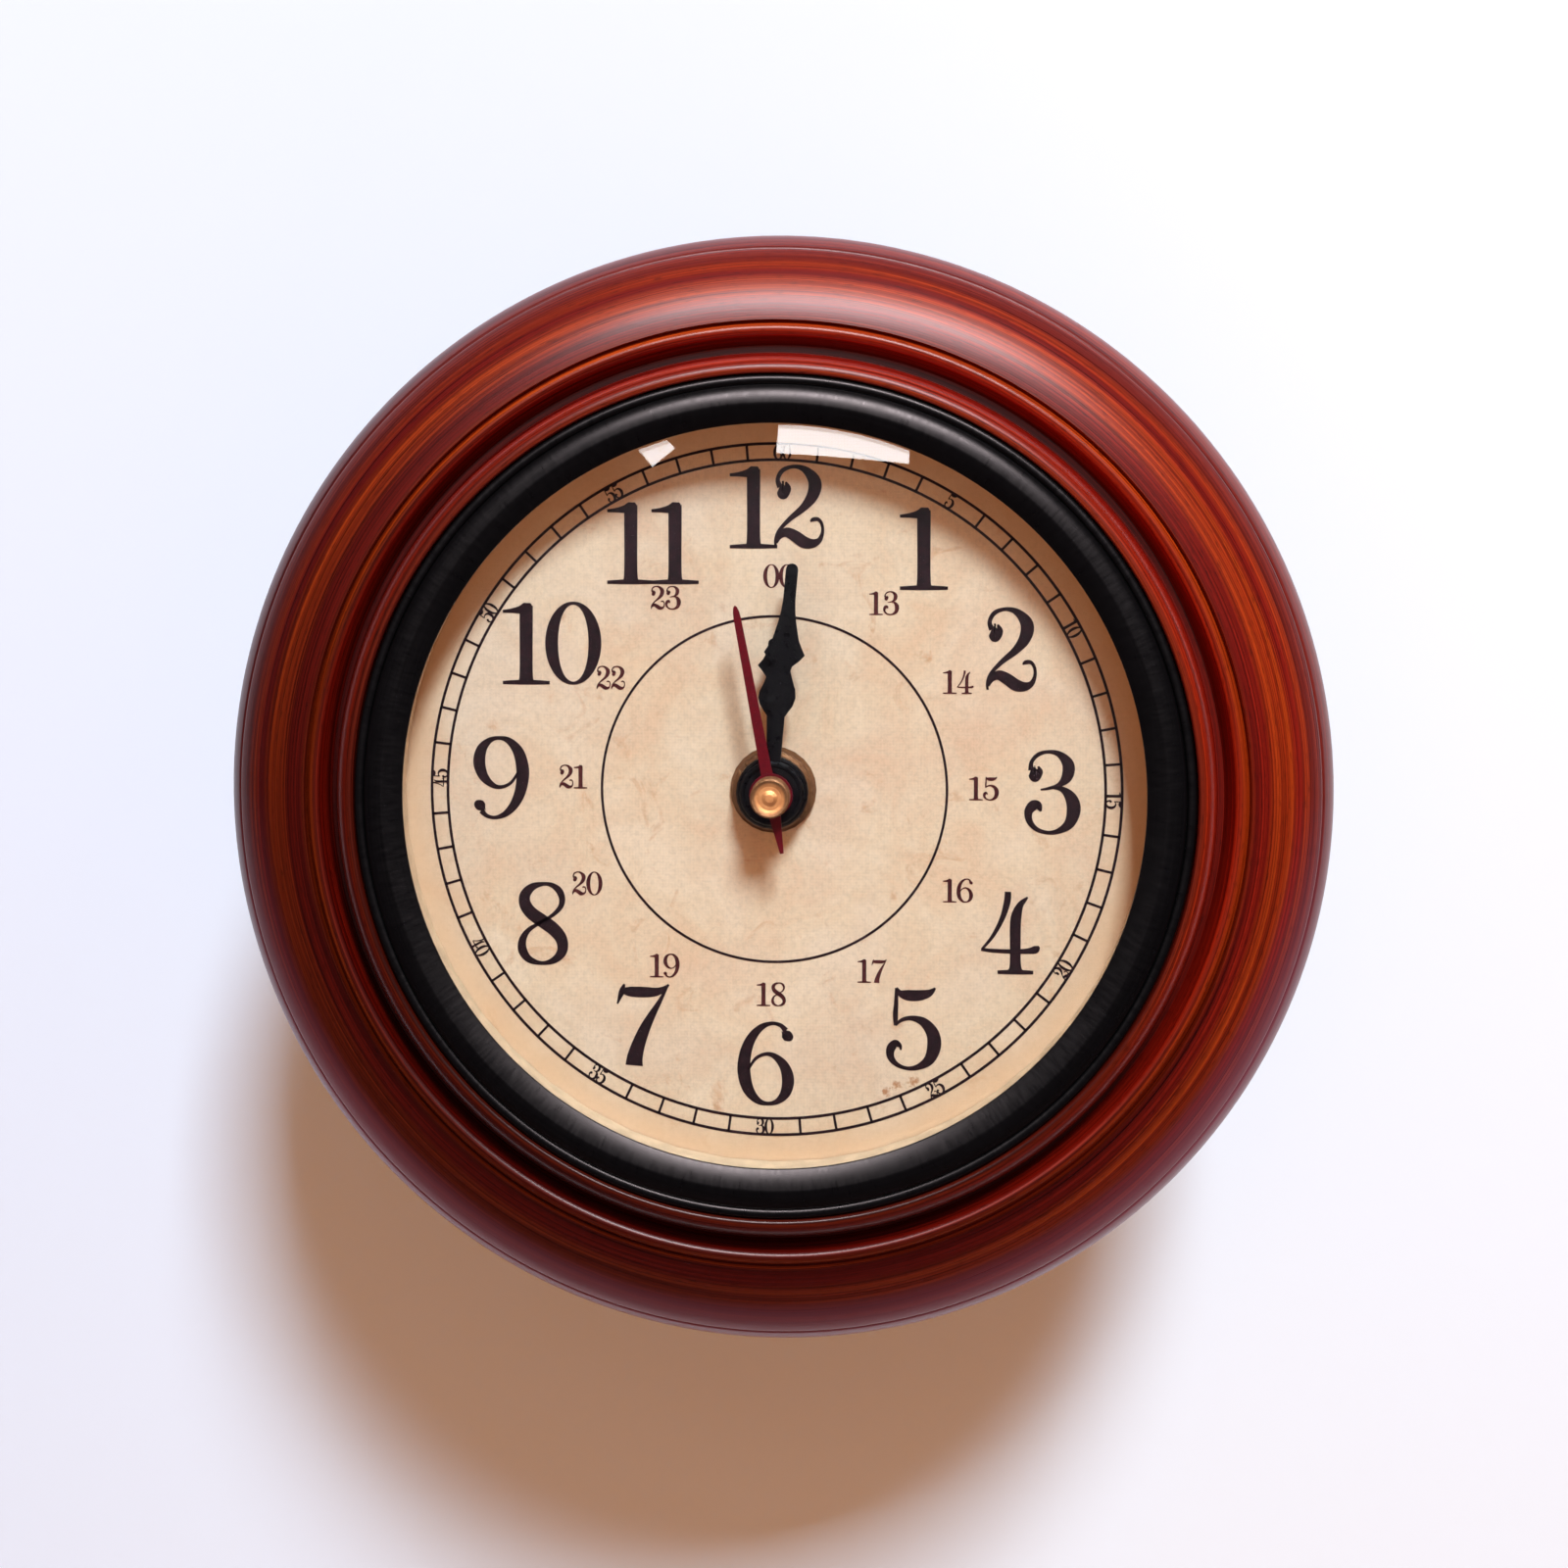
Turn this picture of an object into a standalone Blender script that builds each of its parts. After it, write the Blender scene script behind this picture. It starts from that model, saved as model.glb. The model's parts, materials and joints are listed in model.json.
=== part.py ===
"""A round wooden wall clock, 200 mm across, with a domed glass and a quartz movement.

Units are metres. The wall is the plane y = 0, +Z is up and the face looks along -Y, with the origin on the
clock's axis at the wall. Every piece is drawn face up in a bench frame: x to the right, y up the dial and
z the height above the wall. The empty wall_frame turns that bench frame upright.
"""

import math

import bmesh
import bpy

# Fits
SEAT_GAP = 0.0003
BEARING_GAP = 0.0001
OVERRUN = 0.0010
SUNK = 0.0002
WELD = 0.00001

# Turned wooden case. The insets are measured inwards from its rim.
CASE_RADIUS = 0.1000
BELLY_SHARE = 0.526
BACK_INSET = 0.0120
FRAME_WIDTH = 0.0263
SHOULDER_WIDTH = 0.0077
CREST_REACH = 0.0050
INNER_BEAD_WIDTH = 0.0040
INNER_BEAD_SHOULDER = 0.0007
INNER_BEAD_EDGE_DROP = 0.0005
INNER_BEAD_FALL = 0.0053
GROOVE_WIDTH = 0.0015
GROOVE_DROP = 0.0068
GROOVE_SLOPE_WIDTH = 0.0012
OUTER_BEAD_WIDTH = 0.0026
OUTER_BEAD_DROP = 0.0046
OUTER_BEAD_RISE = 0.0012
QUIRK_WIDTH = 0.0004
QUIRK_DROP = 0.0044
OVOLO_CENTRE_INSET = 0.0200
OVOLO_CREST_DROP = 0.0033
OVOLO_EDGE_INSET = 0.0034
EDGE_STEP = 0.0003

# Black inner ring, glass and spacer
BEZEL_WIDTH = 0.0087
BEZEL_LIP_THICKNESS = 0.0008
BEZEL_LIP_ROUNDING = 0.0004
BEZEL_SLOPE_WIDTH = 0.0037
BEZEL_CREST_RISE = 0.0012
BEZEL_CREST_DROP = 0.0010
BEZEL_BEAD_WIDTH = 0.0016
BEZEL_BEAD_RISE = 0.0005
GLASS_INSET = 0.0017
GLASS_THICKNESS = 0.0018
GLASS_RISE = 0.0087
SPACER_WIDTH = 0.0069
SPACER_HEIGHT = 0.0049

# Dial
DIAL_BOARD_THICKNESS = 0.0025
DIAL_CARD_THICKNESS = 0.0005

# Movement box, with its open battery bay below the wheels
MOVEMENT_BACK = 0.0012
MOVEMENT_HEIGHT = 0.0560
MOVEMENT_DEPTH = 0.0160
MOVEMENT_WALL = 0.0012
MOVEMENT_FLOOR = 0.0010
MOVEMENT_CORNER = 0.0030
BAY_WIDTH = 0.0150
BAY_END_ROOM = 0.00155
BUSH_RADIUS = 0.0040
BUSH_LENGTH = 0.0082
BUSH_BORE_RADIUS = 0.0025
RUBBER_WASHER_RADIUS = 0.0140
RUBBER_WASHER_THICKNESS = 0.0007
WASHER_RADIUS = 0.0077
WASHER_THICKNESS = 0.0005
NUT_RADIUS = 0.0070
NUT_HEIGHT = 0.0020
NUT_STEP = 0.0006
NUT_SLOT_WIDTH = 0.0016
NUT_SLOT_DEPTH = 0.0010
NUT_SLOT_ANGLE = math.radians(142)

# Wheel train
WHEEL_THICKNESS = 0.0008
WHEEL_SPACING = 0.0015
MOTION_SPACING = 0.0017
PINION_REACH = 0.0002
ARBOR_RADIUS = 0.0004
SECOND_ARBOR_RADIUS = 0.00055
MINUTE_TUBE_RADIUS = 0.0015
HOUR_TUBE_RADIUS = 0.0024
BOSS_RADIUS = 0.0012
FRONT_BOSS_LENGTH = 0.0014
FINE_MODULE = 0.0003
COARSE_MODULE = 0.00045
MAGNET_RADIUS = 0.0026
MAGNET_HEIGHT = 0.0022
THIRD_DIRECTION = math.radians(60)
INTERMEDIATE_DIRECTION = math.radians(165)
ROTOR_DIRECTION = math.radians(120)
MOTION_DIRECTION = math.radians(-20)
KNOB_DIRECTION = math.radians(10)

# Numbers of teeth
PINION_LEAVES = 8
CANNON_LEAVES = 10
KNOB_TEETH = 10
INTERMEDIATE_TEETH = 48
SECOND_TEETH = 40
THIRD_TEETH = 60
MINUTE_TEETH = 64
MOTION_TEETH = 30
HOUR_TEETH = 32

# Tooth shape: heights as shares of the module, half widths as shares of the pitch angle
TOOTH_HEIGHT_SHARE = 0.80
LEAF_HEIGHT_SHARE = 0.70
ROOT_DEPTH_SHARE = 1.20
TOOTH_TIP_SHARE = 0.085
LEAF_TIP_SHARE = 0.080
TOOTH_ROOT_SHARE = 0.27
LEAF_ROOT_SHARE = 0.21

# Setting knob
KNOB_RADIUS = 0.0054
KNOB_HEIGHT = 0.0034
KNOB_FLUTES = 12
KNOB_FLUTE_DEPTH = 0.0004
KNOB_SHAFT_RADIUS = 0.0012
KNOB_WELL_GAP = 0.0004
KNOB_WELL_WALL = 0.0008

# Stepper motor
STATOR_THICKNESS = 0.0008
STATOR_RING_RADIUS = 0.0048
STATOR_HOLE_RADIUS = 0.0032
STATOR_ARM_WIDTH = 0.0040
COIL_LENGTH = 0.0160
COIL_FLANGE_RADIUS = 0.0043
COIL_FLANGE_THICKNESS = 0.0008
COIL_BARREL_RADIUS = 0.0023
COIL_BORE_RADIUS = 0.0019
COIL_CENTRE_X = -0.0040
COIL_CENTRE_Y = 0.0215
CORE_LENGTH = 0.0260
CORE_WIDTH = 0.0030
PEG_RADIUS = 0.0012

# Circuit
BOARD_THICKNESS = 0.0008
BOARD_WIDTH = 0.0148
BOARD_HEIGHT = 0.0180
BOARD_LOW_EDGE = 0.0070
CHIP_RADIUS = 0.0028
CHIP_HEIGHT = 0.0012
CRYSTAL_RADIUS = 0.0015
CRYSTAL_LENGTH = 0.0080
CONTACT_THICKNESS = 0.0004
CONTACT_HEIGHT = 0.0040
CONTACT_LOW_END = -0.0235
CONTACT_BOARD_LAP = 0.0050

# Battery, size AA
BATTERY_RADIUS = 0.0071
BATTERY_LENGTH = 0.0505
BATTERY_NUB_RADIUS = 0.0026
BATTERY_NUB_LENGTH = 0.0013
BATTERY_ROUNDING = 0.0005

# Hands
HOUR_LENGTH = 0.0272
HOUR_HALF_WIDTH = 0.0027
HOUR_HUB_RADIUS = 0.0064
MINUTE_LENGTH = 0.0406
MINUTE_HALF_WIDTH = 0.0036
MINUTE_HUB_RADIUS = 0.0057
HUB_HEIGHT = 0.0012
HUB_RIM_WIDTH = 0.0007
HUB_DISH = 0.0003
BLADE_THICKNESS = 0.0004
SECOND_LENGTH = 0.0337
SECOND_TAIL = 0.0103
SECOND_TIP_HALF_WIDTH = 0.00065
SECOND_TIP_LENGTH = 0.0024
SECOND_ROOT_HALF_WIDTH = 0.00105
SECOND_TAIL_HALF_WIDTH = 0.0012
SECOND_DISC_RADIUS = 0.0038
SECOND_DISC_THICKNESS = 0.0005
SECOND_STAND_OFF = 0.0010
SECOND_COLLAR_RADIUS = 0.0013
CAP_RADIUS = 0.00345
CAP_HEIGHT = 0.0036
CAP_STEP = 0.0003
CAP_PIP_RADIUS = 0.0007
ARBOR_GRIP = 0.0024
HOUR_ANGLE = math.radians(0.45)
MINUTE_ANGLE = math.radians(5.2)
SECOND_ANGLE = math.radians(-10.8)

# Keyhole hanger
HANGER_WIDTH = 0.0340
HANGER_HEIGHT = 0.0140
HANGER_THICKNESS = 0.0010
HANGER_CORNER = 0.0030
HANGER_INSET = 0.0200
HANGER_RECESS_DEPTH = 0.0028
KEYHOLE_RADIUS = 0.0042
KEYHOLE_DROP = 0.0015
KEYHOLE_SLOT_RADIUS = 0.0018
KEYHOLE_SLOT_LENGTH = 0.0060
NAIL_POCKET_DEPTH = 0.0090
NAIL_POCKET_MARGIN = 0.0006
SCREW_INSET = 0.0045
SCREW_RADIUS = 0.0012
SCREW_HEAD_RADIUS = 0.0023
SCREW_HEAD_HEIGHT = 0.0010
SCREW_LENGTH = 0.0100

# Facets
CASE_STEPS = 56
DISC_STEPS = 48
ROUND_STEPS = 24
BORE_STEPS = 16
ARBOR_STEPS = 10

# Radii of the case, ring and glass
CASE_BACK_RADIUS = CASE_RADIUS - BACK_INSET
FRONT_BORE_RADIUS = CASE_RADIUS - FRAME_WIDTH
REAR_BORE_RADIUS = FRONT_BORE_RADIUS - SHOULDER_WIDTH
OVOLO_CENTRE_RADIUS = CASE_RADIUS - OVOLO_CENTRE_INSET
OVOLO_EDGE_RADIUS = CASE_RADIUS - OVOLO_EDGE_INSET
BEZEL_OPENING_RADIUS = FRONT_BORE_RADIUS - BEZEL_WIDTH
BEZEL_CREST_RADIUS = BEZEL_OPENING_RADIUS + BEZEL_SLOPE_WIDTH
GLASS_RADIUS = FRONT_BORE_RADIUS - GLASS_INSET
HANGER_CENTRE = CASE_RADIUS - HANGER_INSET

# Widths and spacings
MOVEMENT_WIDTH = BATTERY_LENGTH + 2 * (BAY_END_ROOM + MOVEMENT_WALL)
SCREW_SPACING = HANGER_WIDTH - 2 * SCREW_INSET

# Heights above the wall
MOVEMENT_FRONT = MOVEMENT_BACK + MOVEMENT_DEPTH
FLOOR_FACE = MOVEMENT_FRONT - MOVEMENT_FLOOR
COVER_FACE = MOVEMENT_BACK + MOVEMENT_FLOOR
RUBBER_BACK = MOVEMENT_FRONT + SEAT_GAP
BOARD_BACK = RUBBER_BACK + RUBBER_WASHER_THICKNESS + SEAT_GAP
CARD_BACK = BOARD_BACK + DIAL_BOARD_THICKNESS + SEAT_GAP
DIAL_FACE = CARD_BACK + DIAL_CARD_THICKNESS
WASHER_BACK = DIAL_FACE + SEAT_GAP
NUT_BACK = WASHER_BACK + WASHER_THICKNESS + SEAT_GAP
BUSH_END = MOVEMENT_FRONT + BUSH_LENGTH
HOUR_HUB_BACK = BUSH_END + SEAT_GAP
HOUR_TUBE_END = HOUR_HUB_BACK + HUB_HEIGHT
MINUTE_HUB_BACK = HOUR_TUBE_END + SEAT_GAP
MINUTE_TUBE_END = MINUTE_HUB_BACK + HUB_HEIGHT
SECOND_COLLAR_BACK = MINUTE_TUBE_END + SEAT_GAP
SECOND_DISC_BACK = SECOND_COLLAR_BACK + SECOND_STAND_OFF
CAP_BACK = SECOND_DISC_BACK + SECOND_DISC_THICKNESS + SEAT_GAP
SECOND_ARBOR_END = CAP_BACK + ARBOR_GRIP
SPACER_BACK = DIAL_FACE + SEAT_GAP
GLASS_SEAT = SPACER_BACK + SPACER_HEIGHT + SEAT_GAP
CASE_DEPTH = GLASS_SEAT + CREST_REACH
BELLY_HEIGHT = CASE_DEPTH * BELLY_SHARE
SHOULDER = BOARD_BACK - SEAT_GAP
ARBOR_BACK = COVER_FACE + SEAT_GAP
ARBOR_FRONT = FLOOR_FACE - SEAT_GAP

# Heights of the wheels, from the dial side to the wall
HOUR_WHEEL_BACK = FLOOR_FACE - SEAT_GAP - WHEEL_THICKNESS
MOTION_WHEEL_BACK = HOUR_WHEEL_BACK - MOTION_SPACING
MINUTE_WHEEL_BACK = MOTION_WHEEL_BACK - WHEEL_SPACING
THIRD_WHEEL_BACK = MINUTE_WHEEL_BACK - WHEEL_SPACING
SECOND_WHEEL_BACK = THIRD_WHEEL_BACK - WHEEL_SPACING
INTERMEDIATE_WHEEL_BACK = SECOND_WHEEL_BACK - WHEEL_SPACING
MAGNET_BACK = INTERMEDIATE_WHEEL_BACK - WHEEL_THICKNESS - MAGNET_HEIGHT + PINION_REACH
STATOR_BACK = MAGNET_BACK + (MAGNET_HEIGHT - STATOR_THICKNESS) / 2


def away(start, distance, direction):
    """The point at that distance and direction from start, in the plane of the dial."""
    return (start[0] + distance * math.cos(direction), start[1] + distance * math.sin(direction))


def centre_distance(teeth_a, teeth_b, module):
    return (teeth_a + teeth_b) * module / 2


# Axes of the train. The third wheel's two meshes share one centre distance, and so do the motion wheel's.
CENTRE = (0.0, 0.0)
THIRD_DISTANCE = centre_distance(PINION_LEAVES, THIRD_TEETH, FINE_MODULE)
MINUTE_MODULE = 2 * THIRD_DISTANCE / (PINION_LEAVES + MINUTE_TEETH)
MOTION_DISTANCE = centre_distance(CANNON_LEAVES, MOTION_TEETH, COARSE_MODULE)
HOUR_MODULE = 2 * MOTION_DISTANCE / (PINION_LEAVES + HOUR_TEETH)
THIRD_AXIS = away(CENTRE, THIRD_DISTANCE, THIRD_DIRECTION)
INTERMEDIATE_AXIS = away(
    CENTRE, centre_distance(SECOND_TEETH, PINION_LEAVES, COARSE_MODULE), INTERMEDIATE_DIRECTION
)
ROTOR_AXIS = away(
    INTERMEDIATE_AXIS, centre_distance(INTERMEDIATE_TEETH, PINION_LEAVES, FINE_MODULE), ROTOR_DIRECTION
)
MOTION_AXIS = away(CENTRE, MOTION_DISTANCE, MOTION_DIRECTION)
KNOB_AXIS = away(
    MOTION_AXIS, centre_distance(MOTION_TEETH, KNOB_TEETH, COARSE_MODULE), KNOB_DIRECTION
)

# Outlines of the hands: distance from the axis as a share of the length, and half width as a share
HOUR_BLADE_SHARES = (
    (0.15, 0.39), (0.50, 0.39), (0.53, 0.60), (0.575, 0.86), (0.615, 0.96), (0.655, 0.88),
    (0.71, 0.60), (0.75, 0.45), (0.79, 0.72), (0.825, 1.0), (0.865, 0.66), (0.92, 0.34),
)
MINUTE_BLADE_SHARES = (
    (0.09, 0.29), (0.335, 0.29), (0.355, 0.42), (0.385, 0.63), (0.42, 0.735), (0.455, 0.69),
    (0.50, 0.50), (0.535, 0.37), (0.555, 0.43), (0.58, 0.75), (0.607, 1.0), (0.635, 0.83),
    (0.668, 0.65), (0.703, 0.55), (0.745, 0.44), (0.79, 0.35), (0.84, 0.30),
)


# Scene, materials and placing


def clear_scene():
    for thing in list(bpy.data.objects):
        bpy.data.objects.remove(thing, do_unlink=True)


def new_collection(name):
    made = bpy.data.collections.new(name)
    bpy.context.scene.collection.children.link(made)
    return made


def new_material(name, colour, roughness, metallic=0.0, alpha=1.0):
    made = bpy.data.materials.new(name)
    made.use_nodes = True
    shader = made.node_tree.nodes["Principled BSDF"]
    shader.inputs["Base Color"].default_value = (*colour, 1.0)
    shader.inputs["Roughness"].default_value = roughness
    shader.inputs["Metallic"].default_value = metallic
    shader.inputs["Alpha"].default_value = alpha
    made.diffuse_color = (*colour, alpha)
    return made


clear_scene()
PARTS = new_collection("wall_clock")
CUTTERS = new_collection("cutters")
CUTTERS.hide_render = True

STAINED_WOOD = new_material("stained_wood", (0.22, 0.035, 0.012), 0.30)
BLACK_LACQUER = new_material("black_lacquer", (0.012, 0.012, 0.014), 0.35)
CLEAR_GLASS = new_material("clear_glass", (0.95, 0.97, 0.97), 0.03, alpha=0.25)
CREAM_CARD = new_material("cream_card", (0.72, 0.58, 0.40), 0.60)
PARCHMENT = new_material("parchment_print", (0.78, 0.56, 0.38), 0.55)
HARDBOARD = new_material("hardboard", (0.28, 0.17, 0.09), 0.85)
BRASS = new_material("brass", (0.70, 0.42, 0.16), 0.30, metallic=1.0)
BLACK_PAINT = new_material("black_painted_metal", (0.010, 0.010, 0.012), 0.40, metallic=0.3)
RED_PAINT = new_material("red_painted_metal", (0.20, 0.004, 0.010), 0.35, metallic=0.3)
BLACK_PLASTIC = new_material("black_plastic", (0.020, 0.020, 0.022), 0.50)
WHITE_PLASTIC = new_material("white_plastic", (0.80, 0.80, 0.76), 0.45)
RUBBER = new_material("black_rubber", (0.030, 0.030, 0.030), 0.85)
STEEL = new_material("steel", (0.55, 0.55, 0.56), 0.30, metallic=1.0)
COPPER = new_material("copper_wire", (0.55, 0.20, 0.08), 0.35, metallic=1.0)
GREEN_BOARD = new_material("circuit_board", (0.02, 0.16, 0.07), 0.45)
BATTERY_JACKET = new_material("battery_jacket", (0.05, 0.09, 0.20), 0.35)

wall_frame = bpy.data.objects.new("wall_frame", None)
wall_frame.rotation_euler = (math.radians(90), 0.0, 0.0)
bpy.context.scene.collection.objects.link(wall_frame)


def placed(name, mesh, finish, location=(0.0, 0.0, 0.0), rotation=(0.0, 0.0, 0.0)):
    """One object in the bench frame, smooth where its faces meet at a small angle."""
    mesh.shade_smooth()
    mesh.set_sharp_from_angle(angle=math.radians(35))
    mesh.materials.append(finish)
    thing = bpy.data.objects.new(name, mesh)
    thing.location = location
    thing.rotation_euler = rotation
    thing.parent = wall_frame
    PARTS.objects.link(thing)
    return thing


def as_helper(thing):
    PARTS.objects.unlink(thing)
    CUTTERS.objects.link(thing)
    thing.hide_render = True
    thing.display_type = "WIRE"
    return thing


def boolean(target, other, operation):
    as_helper(other)
    step = target.modifiers.new(operation.lower() + "_" + other.name, "BOOLEAN")
    step.operation = operation
    step.solver = "EXACT"
    step.object = other


def join(target, *others):
    for other in others:
        boolean(target, other, "UNION")


def cut(target, *others):
    for other in others:
        boolean(target, other, "DIFFERENCE")


# Shapes


def baked(guide):
    """The mesh that a guide object makes, after which the guide is removed."""
    PARTS.objects.link(guide)
    bpy.context.view_layer.update()
    graph = bpy.context.evaluated_depsgraph_get()
    mesh = bpy.data.meshes.new_from_object(guide.evaluated_get(graph))
    bpy.data.objects.remove(guide, do_unlink=True)
    return mesh


def arc(centre, radii, start, end, count):
    """Points of an ellipse arc from one angle to another, in degrees, both ends included."""
    angles = [math.radians(start + (end - start) * i / count) for i in range(count + 1)]
    return [(centre[0] + radii[0] * math.cos(a), centre[1] + radii[1] * math.sin(a)) for a in angles]


def circle(radius, count, middle=(0.0, 0.0)):
    return arc(middle, (radius, radius), 0, 360, count)[:-1]


def turned(name, profile, finish, steps=ROUND_STEPS, ring=True, place=CENTRE, cross=False):
    """A profile of (radius, height) points, from the top down its outer side, spun about its axis."""
    mesh = bpy.data.meshes.new(name)
    shape = bmesh.new()
    points = [shape.verts.new((radius, 0.0, height)) for radius, height in profile]
    for a, b in zip(points, points[1:] + points[:1] if ring else points[1:]):
        shape.edges.new((a, b))
    shape.to_mesh(mesh)
    shape.free()
    guide = bpy.data.objects.new(name + "_profile", mesh)
    spin = guide.modifiers.new("spin", "SCREW")
    spin.steps = steps
    spin.render_steps = steps
    spin.use_merge_vertices = True
    spin.merge_threshold = WELD
    rotation = (0.0, math.radians(90), 0.0) if cross else (0.0, 0.0, 0.0)
    return placed(name, baked(guide), finish, (*place, 0.0), rotation)


def rod(name, radius, bottom, top, finish, steps=ROUND_STEPS, place=CENTRE):
    profile = [(0.0, top), (radius, top), (radius, bottom), (0.0, bottom)]
    return turned(name, profile, finish, steps, ring=False, place=place)


def tube(name, inner, outer, bottom, top, finish, steps=ROUND_STEPS, place=CENTRE):
    profile = [(inner, top), (outer, top), (outer, bottom), (inner, bottom)]
    return turned(name, profile, finish, steps, place=place)


def flat(name, outlines, bottom, top, finish, place=CENTRE):
    """Flat outlines, the later ones as holes in the first, filled from one height to another."""
    curve = bpy.data.curves.new(name, "CURVE")
    curve.dimensions = "2D"
    curve.fill_mode = "BOTH"
    curve.extrude = (top - bottom) / 2
    for outline in outlines:
        spline = curve.splines.new("POLY")
        spline.points.add(len(outline) - 1)
        for point, (x, y) in zip(spline.points, outline):
            point.co = (x, y, 0.0, 1.0)
        spline.use_cyclic_u = True
    mesh = baked(bpy.data.objects.new(name + "_outline", curve))
    shape = bmesh.new()
    shape.from_mesh(mesh)
    bmesh.ops.remove_doubles(shape, verts=shape.verts, dist=WELD / 10)
    bmesh.ops.recalc_face_normals(shape, faces=shape.faces)
    shape.to_mesh(mesh)
    shape.free()
    return placed(name, mesh, finish, (*place, (bottom + top) / 2))


def rounded_rectangle(low, high, corner, count=3):
    """The outline of a rectangle between two corners, its own corners rounded."""
    points = []
    middles = (
        (high[0] - corner, high[1] - corner, 0),
        (low[0] + corner, high[1] - corner, 90),
        (low[0] + corner, low[1] + corner, 180),
        (high[0] - corner, low[1] + corner, 270),
    )
    for x, y, start in middles:
        points += arc((x, y), (corner, corner), start, start + 90, count)
    return points


def block(name, low, high, finish):
    """A plain box between two corners."""
    mesh = bpy.data.meshes.new(name)
    shape = bmesh.new()
    bmesh.ops.create_cube(shape, size=1.0)
    for vertex in shape.verts:
        for axis in range(3):
            share = vertex.co[axis] + 0.5
            vertex.co[axis] = low[axis] + share * (high[axis] - low[axis])
    shape.to_mesh(mesh)
    shape.free()
    return placed(name, mesh, finish)


def strip(name, path, bottom, top, finish):
    """A thin metal strip that stands on edge along a path, with half its thickness to each side."""
    mesh = bpy.data.meshes.new(name)
    shape = bmesh.new()
    low = [shape.verts.new((x, y, bottom)) for x, y in path]
    high = [shape.verts.new((x, y, top)) for x, y in path]
    for i in range(len(path) - 1):
        shape.faces.new((low[i], low[i + 1], high[i + 1], high[i]))
    shape.to_mesh(mesh)
    shape.free()
    guide = bpy.data.objects.new(name + "_path", mesh)
    thick = guide.modifiers.new("thickness", "SOLIDIFY")
    thick.thickness = CONTACT_THICKNESS
    thick.offset = 0.0
    thick.use_even_offset = True
    return placed(name, baked(guide), finish)


# Gear teeth


def gear_outline(teeth, module, phase, leaves=False):
    """Teeth with straight flanks, the first one centred on the phase angle."""
    pitch = 2 * math.pi / teeth
    pitch_radius = teeth * module / 2
    tip = pitch_radius + module * (LEAF_HEIGHT_SHARE if leaves else TOOTH_HEIGHT_SHARE)
    root = pitch_radius - module * ROOT_DEPTH_SHARE
    tip_half = pitch * (LEAF_TIP_SHARE if leaves else TOOTH_TIP_SHARE)
    root_half = pitch * (LEAF_ROOT_SHARE if leaves else TOOTH_ROOT_SHARE)
    corners = ((root, -root_half), (tip, -tip_half), (tip, tip_half), (root, root_half))
    points = []
    for tooth in range(teeth):
        middle = phase + tooth * pitch
        points += [(r * math.cos(middle + a), r * math.sin(middle + a)) for r, a in corners]
    return points


def meshing_phase(driver_teeth, driver_phase, direction, teeth):
    """The phase that puts a gap of the driven gear opposite a tooth of its driver."""
    offset = driver_phase - direction
    return direction + math.pi - math.pi / teeth - offset * driver_teeth / teeth


SECOND_PINION_PHASE = 0.0
THIRD_PHASE = meshing_phase(PINION_LEAVES, SECOND_PINION_PHASE, THIRD_DIRECTION, THIRD_TEETH)
MINUTE_PHASE = meshing_phase(PINION_LEAVES, 0.0, THIRD_DIRECTION + math.pi, MINUTE_TEETH)
MOTION_PHASE = meshing_phase(CANNON_LEAVES, 0.0, MOTION_DIRECTION, MOTION_TEETH)
HOUR_PHASE = meshing_phase(PINION_LEAVES, 0.0, MOTION_DIRECTION + math.pi, HOUR_TEETH)
KNOB_PHASE = meshing_phase(MOTION_TEETH, MOTION_PHASE, KNOB_DIRECTION, KNOB_TEETH)
INTERMEDIATE_PINION_PHASE = meshing_phase(SECOND_TEETH, 0.0, INTERMEDIATE_DIRECTION, PINION_LEAVES)
ROTOR_PHASE = meshing_phase(INTERMEDIATE_TEETH, 0.0, ROTOR_DIRECTION, PINION_LEAVES)


def wheel(name, teeth, module, phase, back, place=CENTRE, finish=WHITE_PLASTIC):
    outline = gear_outline(teeth, module, phase)
    return flat(name, [outline], back, back + WHEEL_THICKNESS, finish, place)


def pinion(name, leaves, module, phase, bottom, top, place=CENTRE):
    outline = gear_outline(leaves, module, phase, leaves=True)
    return flat(name, [outline], bottom, top, WHITE_PLASTIC, place)


# Case, ring, glass and dial


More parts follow.
